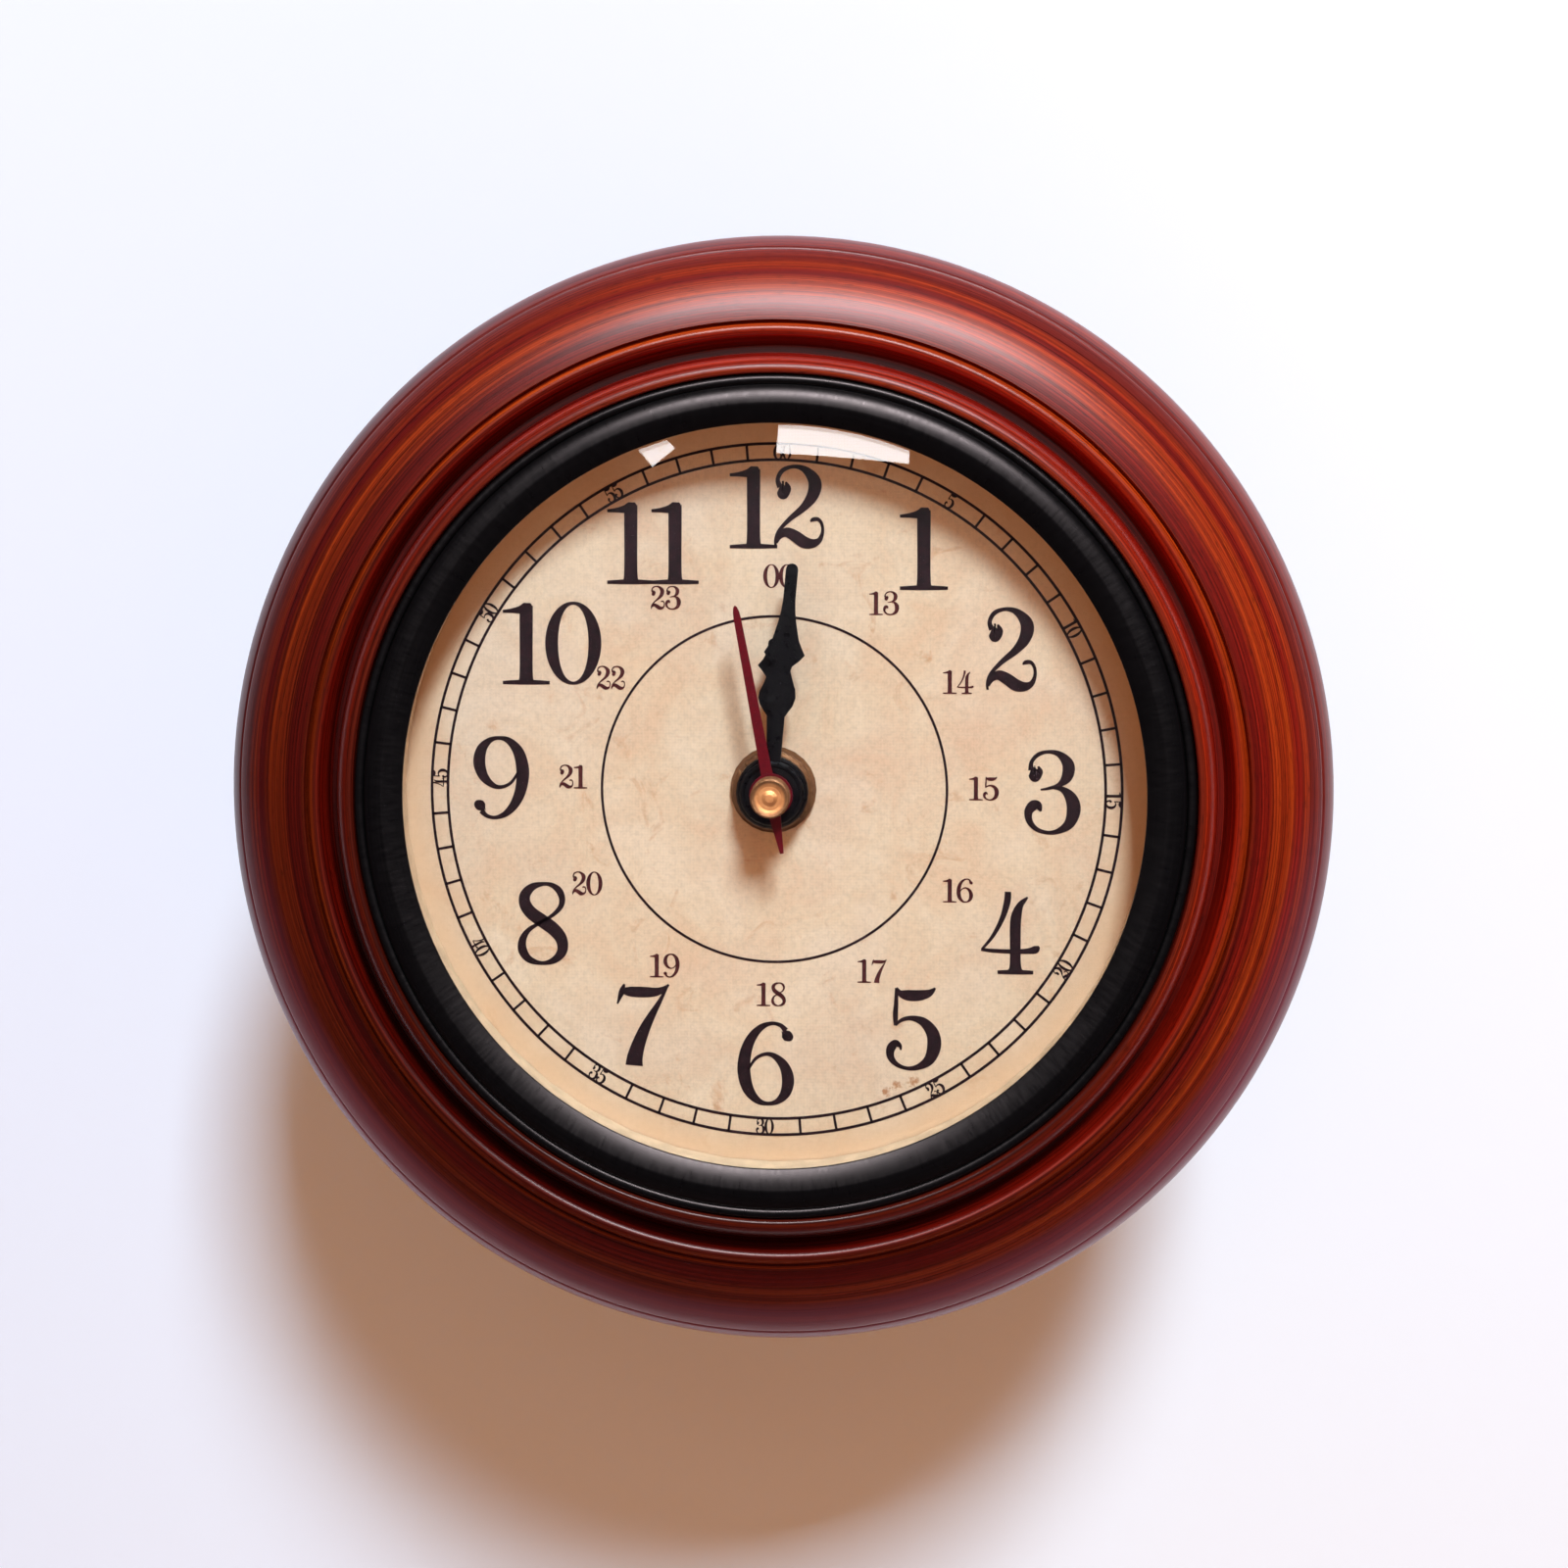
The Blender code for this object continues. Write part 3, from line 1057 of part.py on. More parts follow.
def make_hour_and_minute_hands():
    hour_end = HOUR_HALF_WIDTH * HOUR_BLADE_SHARES[-1][1]
    make_hand(
        "hour_hand", HOUR_BLADE_SHARES, HOUR_LENGTH, HOUR_HALF_WIDTH, hour_end, HOUR_ANGLE,
        HOUR_HUB_BACK, HOUR_HUB_RADIUS, HOUR_TUBE_RADIUS + BEARING_GAP,
    )
    minute_end = MINUTE_HALF_WIDTH * MINUTE_BLADE_SHARES[-1][1]
    make_hand(
        "minute_hand", MINUTE_BLADE_SHARES, MINUTE_LENGTH, MINUTE_HALF_WIDTH, minute_end, MINUTE_ANGLE,
        MINUTE_HUB_BACK, MINUTE_HUB_RADIUS, MINUTE_TUBE_RADIUS + BEARING_GAP,
    )


def make_second_hand():
    disc_front = SECOND_DISC_BACK + SECOND_DISC_THICKNESS
    bore = SECOND_ARBOR_RADIUS + BEARING_GAP
    profile = [
        (bore, disc_front),
        (SECOND_DISC_RADIUS, disc_front),
        (SECOND_DISC_RADIUS, SECOND_DISC_BACK),
        (SECOND_COLLAR_RADIUS, SECOND_DISC_BACK),
        (SECOND_COLLAR_RADIUS, SECOND_COLLAR_BACK),
        (bore, SECOND_COLLAR_BACK),
    ]
    hand = turned("second_hand", profile, RED_PAINT)
    root = SECOND_DISC_RADIUS / 2
    tip_start = SECOND_LENGTH - SECOND_TIP_LENGTH
    tip = arc((0.0, tip_start), (SECOND_TIP_HALF_WIDTH, SECOND_TIP_LENGTH), 0, 180, 6)
    blade = [(-SECOND_ROOT_HALF_WIDTH, root), (SECOND_ROOT_HALF_WIDTH, root)] + tip
    tail_end = SECOND_TIP_HALF_WIDTH / 2
    tail = [
        (SECOND_TAIL_HALF_WIDTH, -root),
        (-SECOND_TAIL_HALF_WIDTH, -root),
        (-tail_end, -SECOND_TAIL),
        (tail_end, -SECOND_TAIL),
    ]
    back = SECOND_DISC_BACK + BEARING_GAP
    for word, outline in (("blade", blade), ("tail", tail)):
        points = turned_outline(outline, SECOND_ANGLE)
        join(hand, flat("second_" + word, [points], back, disc_front - BEARING_GAP, RED_PAINT))


def make_second_hand_cap():
    front = CAP_BACK + CAP_HEIGHT
    bore = SECOND_ARBOR_RADIUS + BEARING_GAP
    bore_end = SECOND_ARBOR_END + SEAT_GAP
    profile = [
        (0.0, front),
        (CAP_PIP_RADIUS, front),
        (2 * CAP_PIP_RADIUS, front - CAP_STEP),
        (3 * CAP_PIP_RADIUS, front - CAP_STEP),
        (CAP_RADIUS - CAP_STEP, front),
        (CAP_RADIUS, front - CAP_STEP),
        (CAP_RADIUS, CAP_BACK),
        (bore, CAP_BACK),
        (bore, bore_end),
        (0.0, bore_end),
    ]
    turned("second_hand_cap", profile, BRASS, ring=False)


# Hanger


def keyhole():
    """A round hole with a slot above it, as one outline."""
    middle = HANGER_CENTRE - KEYHOLE_DROP
    opening = math.degrees(math.asin(KEYHOLE_SLOT_RADIUS / KEYHOLE_RADIUS))
    slot_top = middle + KEYHOLE_SLOT_LENGTH - KEYHOLE_SLOT_RADIUS
    points = arc((0.0, middle), (KEYHOLE_RADIUS, KEYHOLE_RADIUS), 90 + opening, 450 - opening, 14)
    return points + arc((0.0, slot_top), (KEYHOLE_SLOT_RADIUS, KEYHOLE_SLOT_RADIUS), 0, 180, 6)


def make_hanger():
    plate_front = HANGER_RECESS_DEPTH - SEAT_GAP
    plate_back = plate_front - HANGER_THICKNESS
    low = (-HANGER_WIDTH / 2, HANGER_CENTRE - HANGER_HEIGHT / 2)
    high = (HANGER_WIDTH / 2, HANGER_CENTRE + HANGER_HEIGHT / 2)
    outline = rounded_rectangle(low, high, HANGER_CORNER)
    spots = [(side * SCREW_SPACING / 2, HANGER_CENTRE) for side in (-1, 1)]
    holes = [circle(SCREW_RADIUS + SEAT_GAP, BORE_STEPS, spot) for spot in spots]
    flat("hanger_plate", [outline, keyhole(), *holes], plate_back, plate_front, STEEL)
    head_front = plate_back - SEAT_GAP
    head_back = head_front - SCREW_HEAD_HEIGHT
    profile = [
        (0.0, SCREW_LENGTH),
        (SCREW_RADIUS, SCREW_LENGTH - 2 * SCREW_RADIUS),
        (SCREW_RADIUS, head_front),
        (SCREW_HEAD_RADIUS, head_front),
        (SCREW_HEAD_RADIUS - SCREW_HEAD_HEIGHT / 2, head_back),
        (0.0, head_back),
    ]
    for spot, word in zip(spots, ("left", "right")):
        turned("hanger_screw_" + word, profile, STEEL, BORE_STEPS, ring=False, place=spot)


make_wooden_case()
make_bezel_ring()
make_domed_glass()
make_dial()
make_fixings()
make_movement_case()
make_movement_cover()
make_stator()
make_coil()
make_circuit()
make_contacts()
make_battery()
make_rotor()
make_going_train()
make_minute_wheel()
make_motion_wheel()
make_hour_wheel()
make_setting_knob()
make_hour_and_minute_hands()
make_second_hand()
make_second_hand_cap()
make_hanger()
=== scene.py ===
import json
import math

import bmesh
import bpy
from mathutils import Matrix, Vector


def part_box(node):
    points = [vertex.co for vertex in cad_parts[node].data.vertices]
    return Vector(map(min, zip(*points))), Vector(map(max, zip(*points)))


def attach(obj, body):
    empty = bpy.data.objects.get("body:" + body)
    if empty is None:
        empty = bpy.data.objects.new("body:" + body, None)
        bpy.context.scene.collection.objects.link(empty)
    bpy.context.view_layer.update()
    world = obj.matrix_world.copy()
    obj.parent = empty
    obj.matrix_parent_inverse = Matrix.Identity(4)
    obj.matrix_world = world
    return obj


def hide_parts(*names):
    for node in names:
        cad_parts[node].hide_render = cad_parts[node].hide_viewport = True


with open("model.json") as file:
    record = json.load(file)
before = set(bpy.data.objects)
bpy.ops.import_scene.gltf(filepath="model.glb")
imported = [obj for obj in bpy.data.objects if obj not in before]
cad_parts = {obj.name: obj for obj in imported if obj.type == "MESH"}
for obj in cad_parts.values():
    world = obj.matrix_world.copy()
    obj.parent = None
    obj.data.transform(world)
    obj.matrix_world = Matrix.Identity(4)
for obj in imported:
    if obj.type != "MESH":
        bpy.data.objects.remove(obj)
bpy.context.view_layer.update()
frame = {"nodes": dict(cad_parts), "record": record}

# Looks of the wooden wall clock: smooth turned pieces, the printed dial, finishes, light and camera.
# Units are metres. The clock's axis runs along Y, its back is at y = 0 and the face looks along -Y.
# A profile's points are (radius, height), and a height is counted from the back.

MM = 0.001

# Places read from the frame
CASE_LOW, CASE_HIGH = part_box("wooden_case")
GLASS_LOW, GLASS_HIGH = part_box("domed_glass")
PLATE_LOW, PLATE_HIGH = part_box("hanger_plate")
CASE_DEPTH = -CASE_LOW[1]
CASE_RADIUS = CASE_HIGH[2]
DIAL_FACE = -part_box("dial_card")[0][1]
GLASS_SEAT = -GLASS_HIGH[1]
GLASS_TOP = -GLASS_LOW[1]
GLASS_RADIUS = GLASS_HIGH[2]
RING_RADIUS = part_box("bezel_ring")[1][2]

# Facets of the smooth pieces
TURNED_STEPS = 256
DOME_RINGS = 24
ARC_STEPS = 14
SHOULDER_STEPS = 5
CORNER_STEPS = 6
RING_SLOPE_STEPS = 12
RING_BEAD_STEPS = 10

# Turned case, the same sizes as the solid that it stands for. The end and start of an arc are in degrees.
GAP = 0.3 * MM
BELLY_SHARE = 0.526
BACK_INSET = 12.0 * MM
FRAME_WIDTH = 26.3 * MM
SHOULDER_WIDTH = 7.7 * MM
INNER_BEAD_WIDTH = 4.0 * MM
INNER_BEAD_SHOULDER = 0.7 * MM
INNER_BEAD_EDGE_DROP = 0.5 * MM
INNER_BEAD_FALL = 5.3 * MM
GROOVE_WIDTH = 1.5 * MM
GROOVE_DROP = 6.8 * MM
GROOVE_SIDE = 0.2 * MM
GROOVE_SLOPE_WIDTH = 1.2 * MM
OUTER_BEAD_WIDTH = 2.6 * MM
OUTER_BEAD_DROP = 4.6 * MM
OUTER_BEAD_RISE = 1.2 * MM
OUTER_BEAD_END = 20
QUIRK_WIDTH = 0.4 * MM
QUIRK_DROP = 4.4 * MM
OVOLO_CENTRE_INSET = 20.0 * MM
OVOLO_CREST_DROP = 3.3 * MM
OVOLO_EDGE_INSET = 3.4 * MM
EDGE_STEP = 0.3 * MM
SHOULDER = 18.2 * MM
RECESS_DEPTH = 2.8 * MM
RECESS_CORNER = 3.3 * MM
POCKET_DEPTH = 9.0 * MM
POCKET_HALF = 4.8 * MM
POCKET_ABOVE = 5.1 * MM
POCKET_BELOW = 6.3 * MM
POCKET_CORNER = 0.6 * MM
CASE_SHARPNESS = 50

# Black ring and domed glass
RING_WIDTH = 8.7 * MM
LIP_THICKNESS = 0.4 * MM
LIP_ROUNDING = 0.2 * MM
LIP_END = 110
RING_SLOPE = 3.1 * MM
RING_CREST_RISE = 1.6 * MM
RING_CREST_DROP = 1.4 * MM
RING_BEAD_WIDTH = 1.6 * MM
RING_BEAD_RISE = 0.5 * MM
RING_BEAD_START = 165
GLASS_THICKNESS = 1.8 * MM

# Printing on the dial. A place is the middle of a number in millimetres, and a gap is in a figure's units.
INK_THICKNESS = 0.04 * MM
INK_LIFT = 0.01 * MM
LAYER_STEP = 0.004 * MM
PRINT_TURN = math.radians(-1.5)
NUMERAL_HEIGHT = 14.8 * MM
NUMERAL_LOOK = {"bolder": 1.28, "squeeze": 0.93, "gap": -40}
NUMERAL_PLACES = {
    "12": (0.6, 50.5), "1": (26.8, 43.1), "2": (42.3, 25.1), "3": (49.5, -0.2),
    "4": (42.1, -25.1), "5": (24.9, -42.4), "6": (-1.4, -49.1), "7": (-23.5, -42.4),
    "8": (-41.7, -24.5), "9": (-49.2, 1.7), "10": (-40.1, 26.0), "11": (-21.7, 44.1),
}
SMALL_HEIGHT = 4.2 * MM
SMALL_LOOK = {"bolder": 1.42, "squeeze": 0.92}
SMALL_PLACES = {
    "00": (1.0, 38.1), "13": (19.7, 33.3), "14": (32.9, 19.3), "15": (37.4, 0.4),
    "16": (32.8, -17.8), "17": (17.6, -32.3), "18": (-0.4, -36.7), "19": (-19.6, -31.8),
    "20": (-33.6, -17.2), "21": (-36.1, 2.0), "22": (-29.3, 19.8), "23": (-19.4, 34.2),
}
TRACK_INNER = 58.9 * MM
TRACK_OUTER = 61.8 * MM
TRACK_LINE = 0.50 * MM
TRACK_TICK = 0.46 * MM
TRACK_HEIGHT = 2.7 * MM
TRACK_LOOK = {"bolder": 1.7, "squeeze": 0.8}
CENTRE_RING = 30.9 * MM
CENTRE_LINE = 0.46 * MM


# Meshes


def new_piece(name, mesh, finish, body="case", angle=40):
    """Adds a mesh as a piece that rides on a body, smooth except at corners sharper than the angle."""
    mesh.shade_smooth()
    mesh.set_sharp_from_angle(angle=math.radians(angle))
    mesh.materials.append(finish)
    piece = bpy.data.objects.new(name, mesh)
    bpy.context.scene.collection.objects.link(piece)
    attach(piece, body)
    return piece


def closed_mesh(name, shape):
    """A mesh of a finished closed shape, with its faces turned outward."""
    mesh = bpy.data.meshes.new(name)
    bmesh.ops.recalc_face_normals(shape, faces=shape.faces)
    shape.to_mesh(mesh)
    shape.free()
    return mesh


def arc(centre, radii, start, end, count=ARC_STEPS):
    """Points of an ellipse arc from one angle to another, in degrees, both ends included."""
    angles = [math.radians(start + (end - start) * i / count) for i in range(count + 1)]
    return [(centre[0] + radii[0] * math.cos(a), centre[1] + radii[1] * math.sin(a)) for a in angles]


def turned_row(shape, profile, step):
    """The vertices of a profile, turned by a step round the axis."""
    turn = 2 * math.pi * step / TURNED_STEPS
    return [shape.verts.new((r * math.sin(turn), -h, r * math.cos(turn))) for r, h in profile]


def lathe(name, profile):
    """A closed profile spun about the clock's axis. Its UV map holds the distance along the profile and
    the share of the turn."""
    shape = bmesh.new()
    layer = shape.loops.layers.uv.new("along_profile")
    distances = [0.0]
    for a, b in zip(profile, profile[1:] + profile[:1]):
        distances.append(distances[-1] + math.dist(a, b))
    rows = [turned_row(shape, profile, step) for step in range(TURNED_STEPS)]
    count = len(profile)
    for step in range(TURNED_STEPS):
        here, after = rows[step], rows[(step + 1) % TURNED_STEPS]
        for i in range(count):
            j = (i + 1) % count
            face = shape.faces.new((here[i], here[j], after[j], after[i]))
            places = ((i, step), (i + 1, step), (i + 1, step + 1), (i, step + 1))
            for loop, (along, turned) in zip(face.loops, places):
                loop[layer].uv = (distances[along], turned / TURNED_STEPS)
    return closed_mesh(name, shape)


def prism(outline, front, back):
    """A closed prism between two heights, of an outline seen from the front."""
    shape = bmesh.new()
    low = [shape.verts.new((x, -back, z)) for x, z in outline]
    high = [shape.verts.new((x, -front, z)) for x, z in outline]
    count = len(outline)
    shape.faces.new(low)
    shape.faces.new(high[::-1])
    for i in range(count):
        j = (i + 1) % count
        shape.faces.new((low[j], low[i], high[i], high[j]))
    return closed_mesh("prism", shape)


def carved(mesh, cutters):
    """The mesh with closed cutter meshes taken out of it."""
    scene = bpy.context.scene.collection
    body = bpy.data.objects.new("carved", mesh)
    scene.objects.link(body)
    tools = []
    for cutter in cutters:
        tool = bpy.data.objects.new("cutter", cutter)
        scene.objects.link(tool)
        tools.append(tool)
        step = body.modifiers.new("carve", "BOOLEAN")
        step.solver = "EXACT"
        step.operation = "DIFFERENCE"
        step.object = tool
    bpy.context.view_layer.update()
    graph = bpy.context.evaluated_depsgraph_get()
    result = bpy.data.meshes.new_from_object(body.evaluated_get(graph))
    for thing in (body, *tools):
        bpy.data.objects.remove(thing, do_unlink=True)
    return result


def rounded_rectangle(low, high, corner):
    """The outline of a rectangle between two corners, rounded by a radius."""
    points = []
    middles = (
        (high[0] - corner, high[1] - corner, 0),
        (low[0] + corner, high[1] - corner, 90),
        (low[0] + corner, low[1] + corner, 180),
        (high[0] - corner, low[1] + corner, 270),
    )
    for x, z, start in middles:
        points += arc((x, z), (corner, corner), start, start + 90, CORNER_STEPS)
    return points


# Materials. Places are in millimetres, and a tone given by linear() is a screen tone from 0 to 255.

FLAT = (1.0, 0.0, 1.0)


class Finish:
    """A Principled material with short calls for the nodes that vary it over a surface."""

    def __init__(self, name, colour, roughness, metallic=0.0):
        self.material = bpy.data.materials.new(name)
        self.material.use_nodes = True
        self.tree = self.material.node_tree
        self.shader = self.tree.nodes["Principled BSDF"]
        self.set("Base Color", (*colour, 1.0))
        self.set("Roughness", roughness)
        self.set("Metallic", metallic)

    def set(self, socket, value):
        self.shader.inputs[socket].default_value = value

    def link(self, source, target):
        self.tree.links.new(source, target)

    def node(self, kind, **settings):
        made = self.tree.nodes.new(kind)
        for key, value in settings.items():
            setattr(made, key, value)
        return made

    def place(self):
        """Object coordinates in millimetres."""
        coordinates = self.node("ShaderNodeTexCoord")
        return self.math_vector("SCALE", coordinates.outputs["Object"], scale=1 / MM)

    def math(self, operation, a, b=0.0):
        made = self.node("ShaderNodeMath", operation=operation)
        for socket, value in zip(made.inputs, (a, b)):
            if isinstance(value, (int, float)):
                socket.default_value = value
            else:
                self.link(value, socket)
        return made.outputs[0]

    def math_vector(self, operation, a, b=None, scale=1.0):
        made = self.node("ShaderNodeVectorMath", operation=operation)
        self.link(a, made.inputs[0])
        if isinstance(b, tuple):
            made.inputs[1].default_value = b
        elif b is not None:
            self.link(b, made.inputs[1])
        if operation == "SCALE":
            made.inputs["Scale"].default_value = scale
        return made.outputs["Vector"]

    def length(self, vector):
        made = self.node("ShaderNodeVectorMath", operation="LENGTH")
        self.link(vector, made.inputs[0])
        return made.outputs["Value"]

    def noise(self, place, scale, detail=2.0, roughness=0.5, distortion=0.0):
        made = self.node("ShaderNodeTexNoise")
        self.link(place, made.inputs["Vector"])
        made.inputs["Scale"].default_value = scale
        made.inputs["Detail"].default_value = detail
        made.inputs["Roughness"].default_value = roughness
        made.inputs["Distortion"].default_value = distortion
        return made.outputs["Fac"]

    def ramp(self, fac, stops):
        """A colour ramp of (position, colour) stops, or of (position, value) stops."""
        made = self.node("ShaderNodeValToRGB")
        self.link(fac, made.inputs["Fac"])
        elements = made.color_ramp.elements
        while len(elements) < len(stops):
            elements.new(0.5)
        for element, (position, value) in zip(elements, stops):
            element.position = position
            colour = value if isinstance(value, tuple) else (value, value, value)
            element.color = (*colour, 1.0)
        return made.outputs["Color"]

    def mix(self, fac, a, b, blend="MIX"):
        made = self.node("ShaderNodeMix", data_type="RGBA", blend_type=blend)
        for socket, value in ((made.inputs["Factor"], fac), (made.inputs["A"], a), (made.inputs["B"], b)):
            if isinstance(value, tuple):
                socket.default_value = (*value, 1.0)
            elif isinstance(value, (int, float)):
                socket.default_value = value
            else:
                self.link(value, socket)
        return made.outputs["Result"]

    def bump(self, height, strength, distance=0.1 * MM):
        made = self.node("ShaderNodeBump")
        made.inputs["Strength"].default_value = strength
        made.inputs["Distance"].default_value = distance
        self.link(height, made.inputs["Height"])
        self.link(made.outputs["Normal"], self.shader.inputs["Normal"])

    def shade(self, base, tone, share=1.0):
        """The base multiplied by a tone."""
        return self.mix(share, base, tone, "MULTIPLY")

    def colour(self, value):
        self.link(value, self.shader.inputs["Base Color"])

    def roughness(self, value):
        self.link(value, self.shader.inputs["Roughness"])

    def surface(self, shader):
        self.link(shader, self.tree.nodes["Material Output"].inputs["Surface"])


def linear(red, green, blue):
    """The colour that shows as these screen values from 0 to 255."""
    values = (red / 255, green / 255, blue / 255)
    return tuple(v / 12.92 if v <= 0.04045 else ((v + 0.055) / 1.055) ** 2.4 for v in values)


def blend_shaders(tree, share, first, second):
    """A mix of two shaders, all of the first at a share of 0 and all of the second at 1."""
    made = tree.nodes.new("ShaderNodeMixShader")
    for socket, source in zip(made.inputs, (share, first, second)):
        tree.links.new(source, socket)
    return made.outputs[0]


def plain_shader(tree, kind, colour=None, strength=1.0):
    """A background, emission or transparent shader of one colour."""
    made = tree.nodes.new(kind)
    if colour:
        made.inputs["Color"].default_value = (*colour, 1.0)
        made.inputs["Strength"].default_value = strength
    return made.outputs[0]


def split(finish, vector):
    parts = finish.node("ShaderNodeSeparateXYZ")
    finish.link(vector, parts.inputs[0])
    return parts.outputs


def axis_distance(finish, place):
    return finish.length(finish.math_vector("MULTIPLY", place, FLAT))


def around_axis(finish, along, turns):
    """A place that runs along the profile and round the axis, with no seam where the turn closes."""
    flat = finish.math_vector("MULTIPLY", finish.place(), FLAT)
    direction = finish.math_vector("NORMALIZE", flat)
    around = finish.math_vector("SCALE", direction, scale=turns)
    lift = finish.node("ShaderNodeCombineXYZ")
    finish.link(along, lift.inputs["Y"])
    return finish.math_vector("ADD", around, lift.outputs[0])


def profile_distance(finish):
    """Millimetres along the turned profile, from the piece's UV map."""
    coordinates = finish.node("ShaderNodeTexCoord")
    return finish.math("MULTIPLY", split(finish, coordinates.outputs["UV"])["X"], 1 / MM)


def turned_noise(finish, along, stretch, turns, detail=3.0, roughness=0.6, distortion=0.0):
    """Noise drawn out by turning: stretch along the profile against turns round the axis."""
    place = around_axis(finish, finish.math("MULTIPLY", along, stretch), turns)
    return finish.noise(place, 1.0, detail, roughness, distortion)


# Stained wood. The bands are the growth rings that turning cuts, each with its distance from the axis.
STAIN_TONES = {
    "deep": linear(98, 9, 4),
    "red": linear(111, 13, 5),
    "scarlet": linear(146, 20, 7),
    "warm": linear(131, 25, 5),
    "brown": linear(123, 31, 8),
    "amber": linear(138, 37, 7),
    "gold": linear(156, 50, 9),
    "rim": linear(106, 25, 14),
}
WOOD_BANDS = [
    (73.7, "rim"), (74.5, "brown"), (75.3, "warm"), (76.1, "warm"), (76.9, "red"), (77.6, "deep"),
    (78.3, "deep"), (79.4, "red"), (80.5, "scarlet"), (81.5, "warm"), (82.3, "gold"), (82.9, "amber"),
    (83.4, "brown"), (84.0, "deep"), (85.0, "red"), (86.4, "red"), (87.3, "amber"), (90.8, "amber"),
    (91.6, "red"), (92.4, "red"), (93.3, "amber"), (94.2, "brown"), (94.9, "rim"),
]
WOOD_START = 73.0
WOOD_END = 101.0
WOOD_WAVER = 1.4
# Direction round the axis of the painted light on the case, from the top towards the right
PAINTED_LIGHT_SIDE = math.radians(38)
# Painted sheen near the rim: the radii where it starts and is full, and its tone
SHEEN_RADII = [(90.0, 0.0), (96.5, 1.0)]
PAINTED_SHEEN_TONE = linear(139, 76, 93)
VARNISH_TINT = (1.0, 0.86, 0.89, 1.0)


def wood_share(radius):
    return (radius - WOOD_START) / (WOOD_END - WOOD_START)


def wood_bands(finish, share):
    return finish.ramp(share, [(wood_share(radius), STAIN_TONES[tone]) for radius, tone in WOOD_BANDS])


def sunned(finish, x, z, radius):
    """Painted light and shade round the case: paler towards the upper right, where the key light falls, and
    darker towards the lower left.
    """
    towards_x = finish.math("MULTIPLY", x, math.sin(PAINTED_LIGHT_SIDE))
    towards_z = finish.math("MULTIPLY", z, math.cos(PAINTED_LIGHT_SIDE))
    side = finish.math("DIVIDE", finish.math("ADD", towards_x, towards_z), radius)
    facing = finish.math("ADD", finish.math("MULTIPLY", side, 0.5), 0.5)
    return finish.ramp(facing, [(0.0, 0.26), (0.5, 0.62), (0.85, 1.1), (1.0, 1.22)])


def varnish_bloom(finish, y, z, radius, share):
    """Painted sheen: a pale reflection painted on the front near the rim, and most of all at the foot."""
    rim = finish.ramp(share, [(wood_share(place), value) for place, value in SHEEN_RADII])
    front = finish.ramp(finish.math("DIVIDE", y, -CASE_DEPTH / MM), [(0.45, 0.0), (0.62, 1.0)])
    down = finish.math("DIVIDE", z, finish.math("MULTIPLY", radius, -1.0))
    below = finish.ramp(down, [(0.0, 0.05), (0.6, 0.75)])
    return finish.math("MULTIPLY", finish.math("MULTIPLY", rim, front), below)


def stained_wood():
    """Red-brown stained wood: the rings that turning shows across the grain, long streaks and fine pores."""
    finish = Finish("stained_wood", linear(125, 28, 8), 0.42)
    along = profile_distance(finish)
    place = finish.place()
    x, y, z = split(finish, place)
    radius = axis_distance(finish, place)
    waver = finish.math("SUBTRACT", turned_noise(finish, along, 0.4, 1.0, 2.0, 0.5), 0.5)
    wandering = finish.math("ADD", radius, finish.math("MULTIPLY", waver, WOOD_WAVER))
    share = finish.math("DIVIDE", finish.math("SUBTRACT", wandering, WOOD_START), WOOD_END - WOOD_START)
    streak = turned_noise(finish, along, 1.7, 0.5, 4.0, distortion=0.2)
    fine = turned_noise(finish, along, 3.4, 1.0)
    pores = turned_noise(finish, along, 6.0, 34.0, 2.0, 0.5)
    warmth = finish.ramp(streak, [
        (0.30, (0.50, 0.36, 0.40)),
        (0.45, (0.86, 0.78, 0.80)),
        (0.55, (1.08, 1.22, 1.10)),
        (0.70, (1.45, 2.10, 1.60)),
    ])
    base = finish.shade(wood_bands(finish, share), warmth)
    base = finish.shade(base, finish.ramp(fine, [(0.32, 0.55), (0.48, 0.95), (0.68, 1.45)]))
    base = finish.shade(base, finish.ramp(pores, [(0.30, 0.45), (0.42, 1.0)]))
    # Painted light and shade: the case is darker at the lower left and paler at the upper right
    base = finish.shade(base, sunned(finish, x, z, radius))
    # Painted sheen: a pale reflection painted near the rim, strongest at the foot
    finish.colour(finish.mix(varnish_bloom(finish, y, z, radius, share), base, PAINTED_SHEEN_TONE))
    finish.roughness(finish.ramp(fine, [(0.3, 0.27), (0.7, 0.33)]))
    finish.bump(finish.math("ADD", fine, pores), 0.12, 0.04 * MM)
    finish.set("Specular IOR Level", 0.42)
    finish.set("Specular Tint", VARNISH_TINT)
    return finish.material


def black_lacquer():
    """Black lacquer with fine strokes across the ring."""
    finish = Finish("black_lacquer", linear(10, 11, 12), 0.36)
    along = profile_distance(finish)
    strokes = turned_noise(finish, along, 0.3, 110.0)
    rings = turned_noise(finish, along, 3.0, 3.0)
    finish.colour(finish.ramp(rings, [(0.35, linear(3, 4, 4)), (0.65, linear(8, 8, 9))]))
    finish.roughness(finish.ramp(strokes, [(0.3, 0.27), (0.7, 0.38)]))
    finish.bump(strokes, 0.06, 0.05 * MM)
    finish.set("Specular IOR Level", 0.45)
    finish.set("Specular Tint", VARNISH_TINT)
    return finish.material


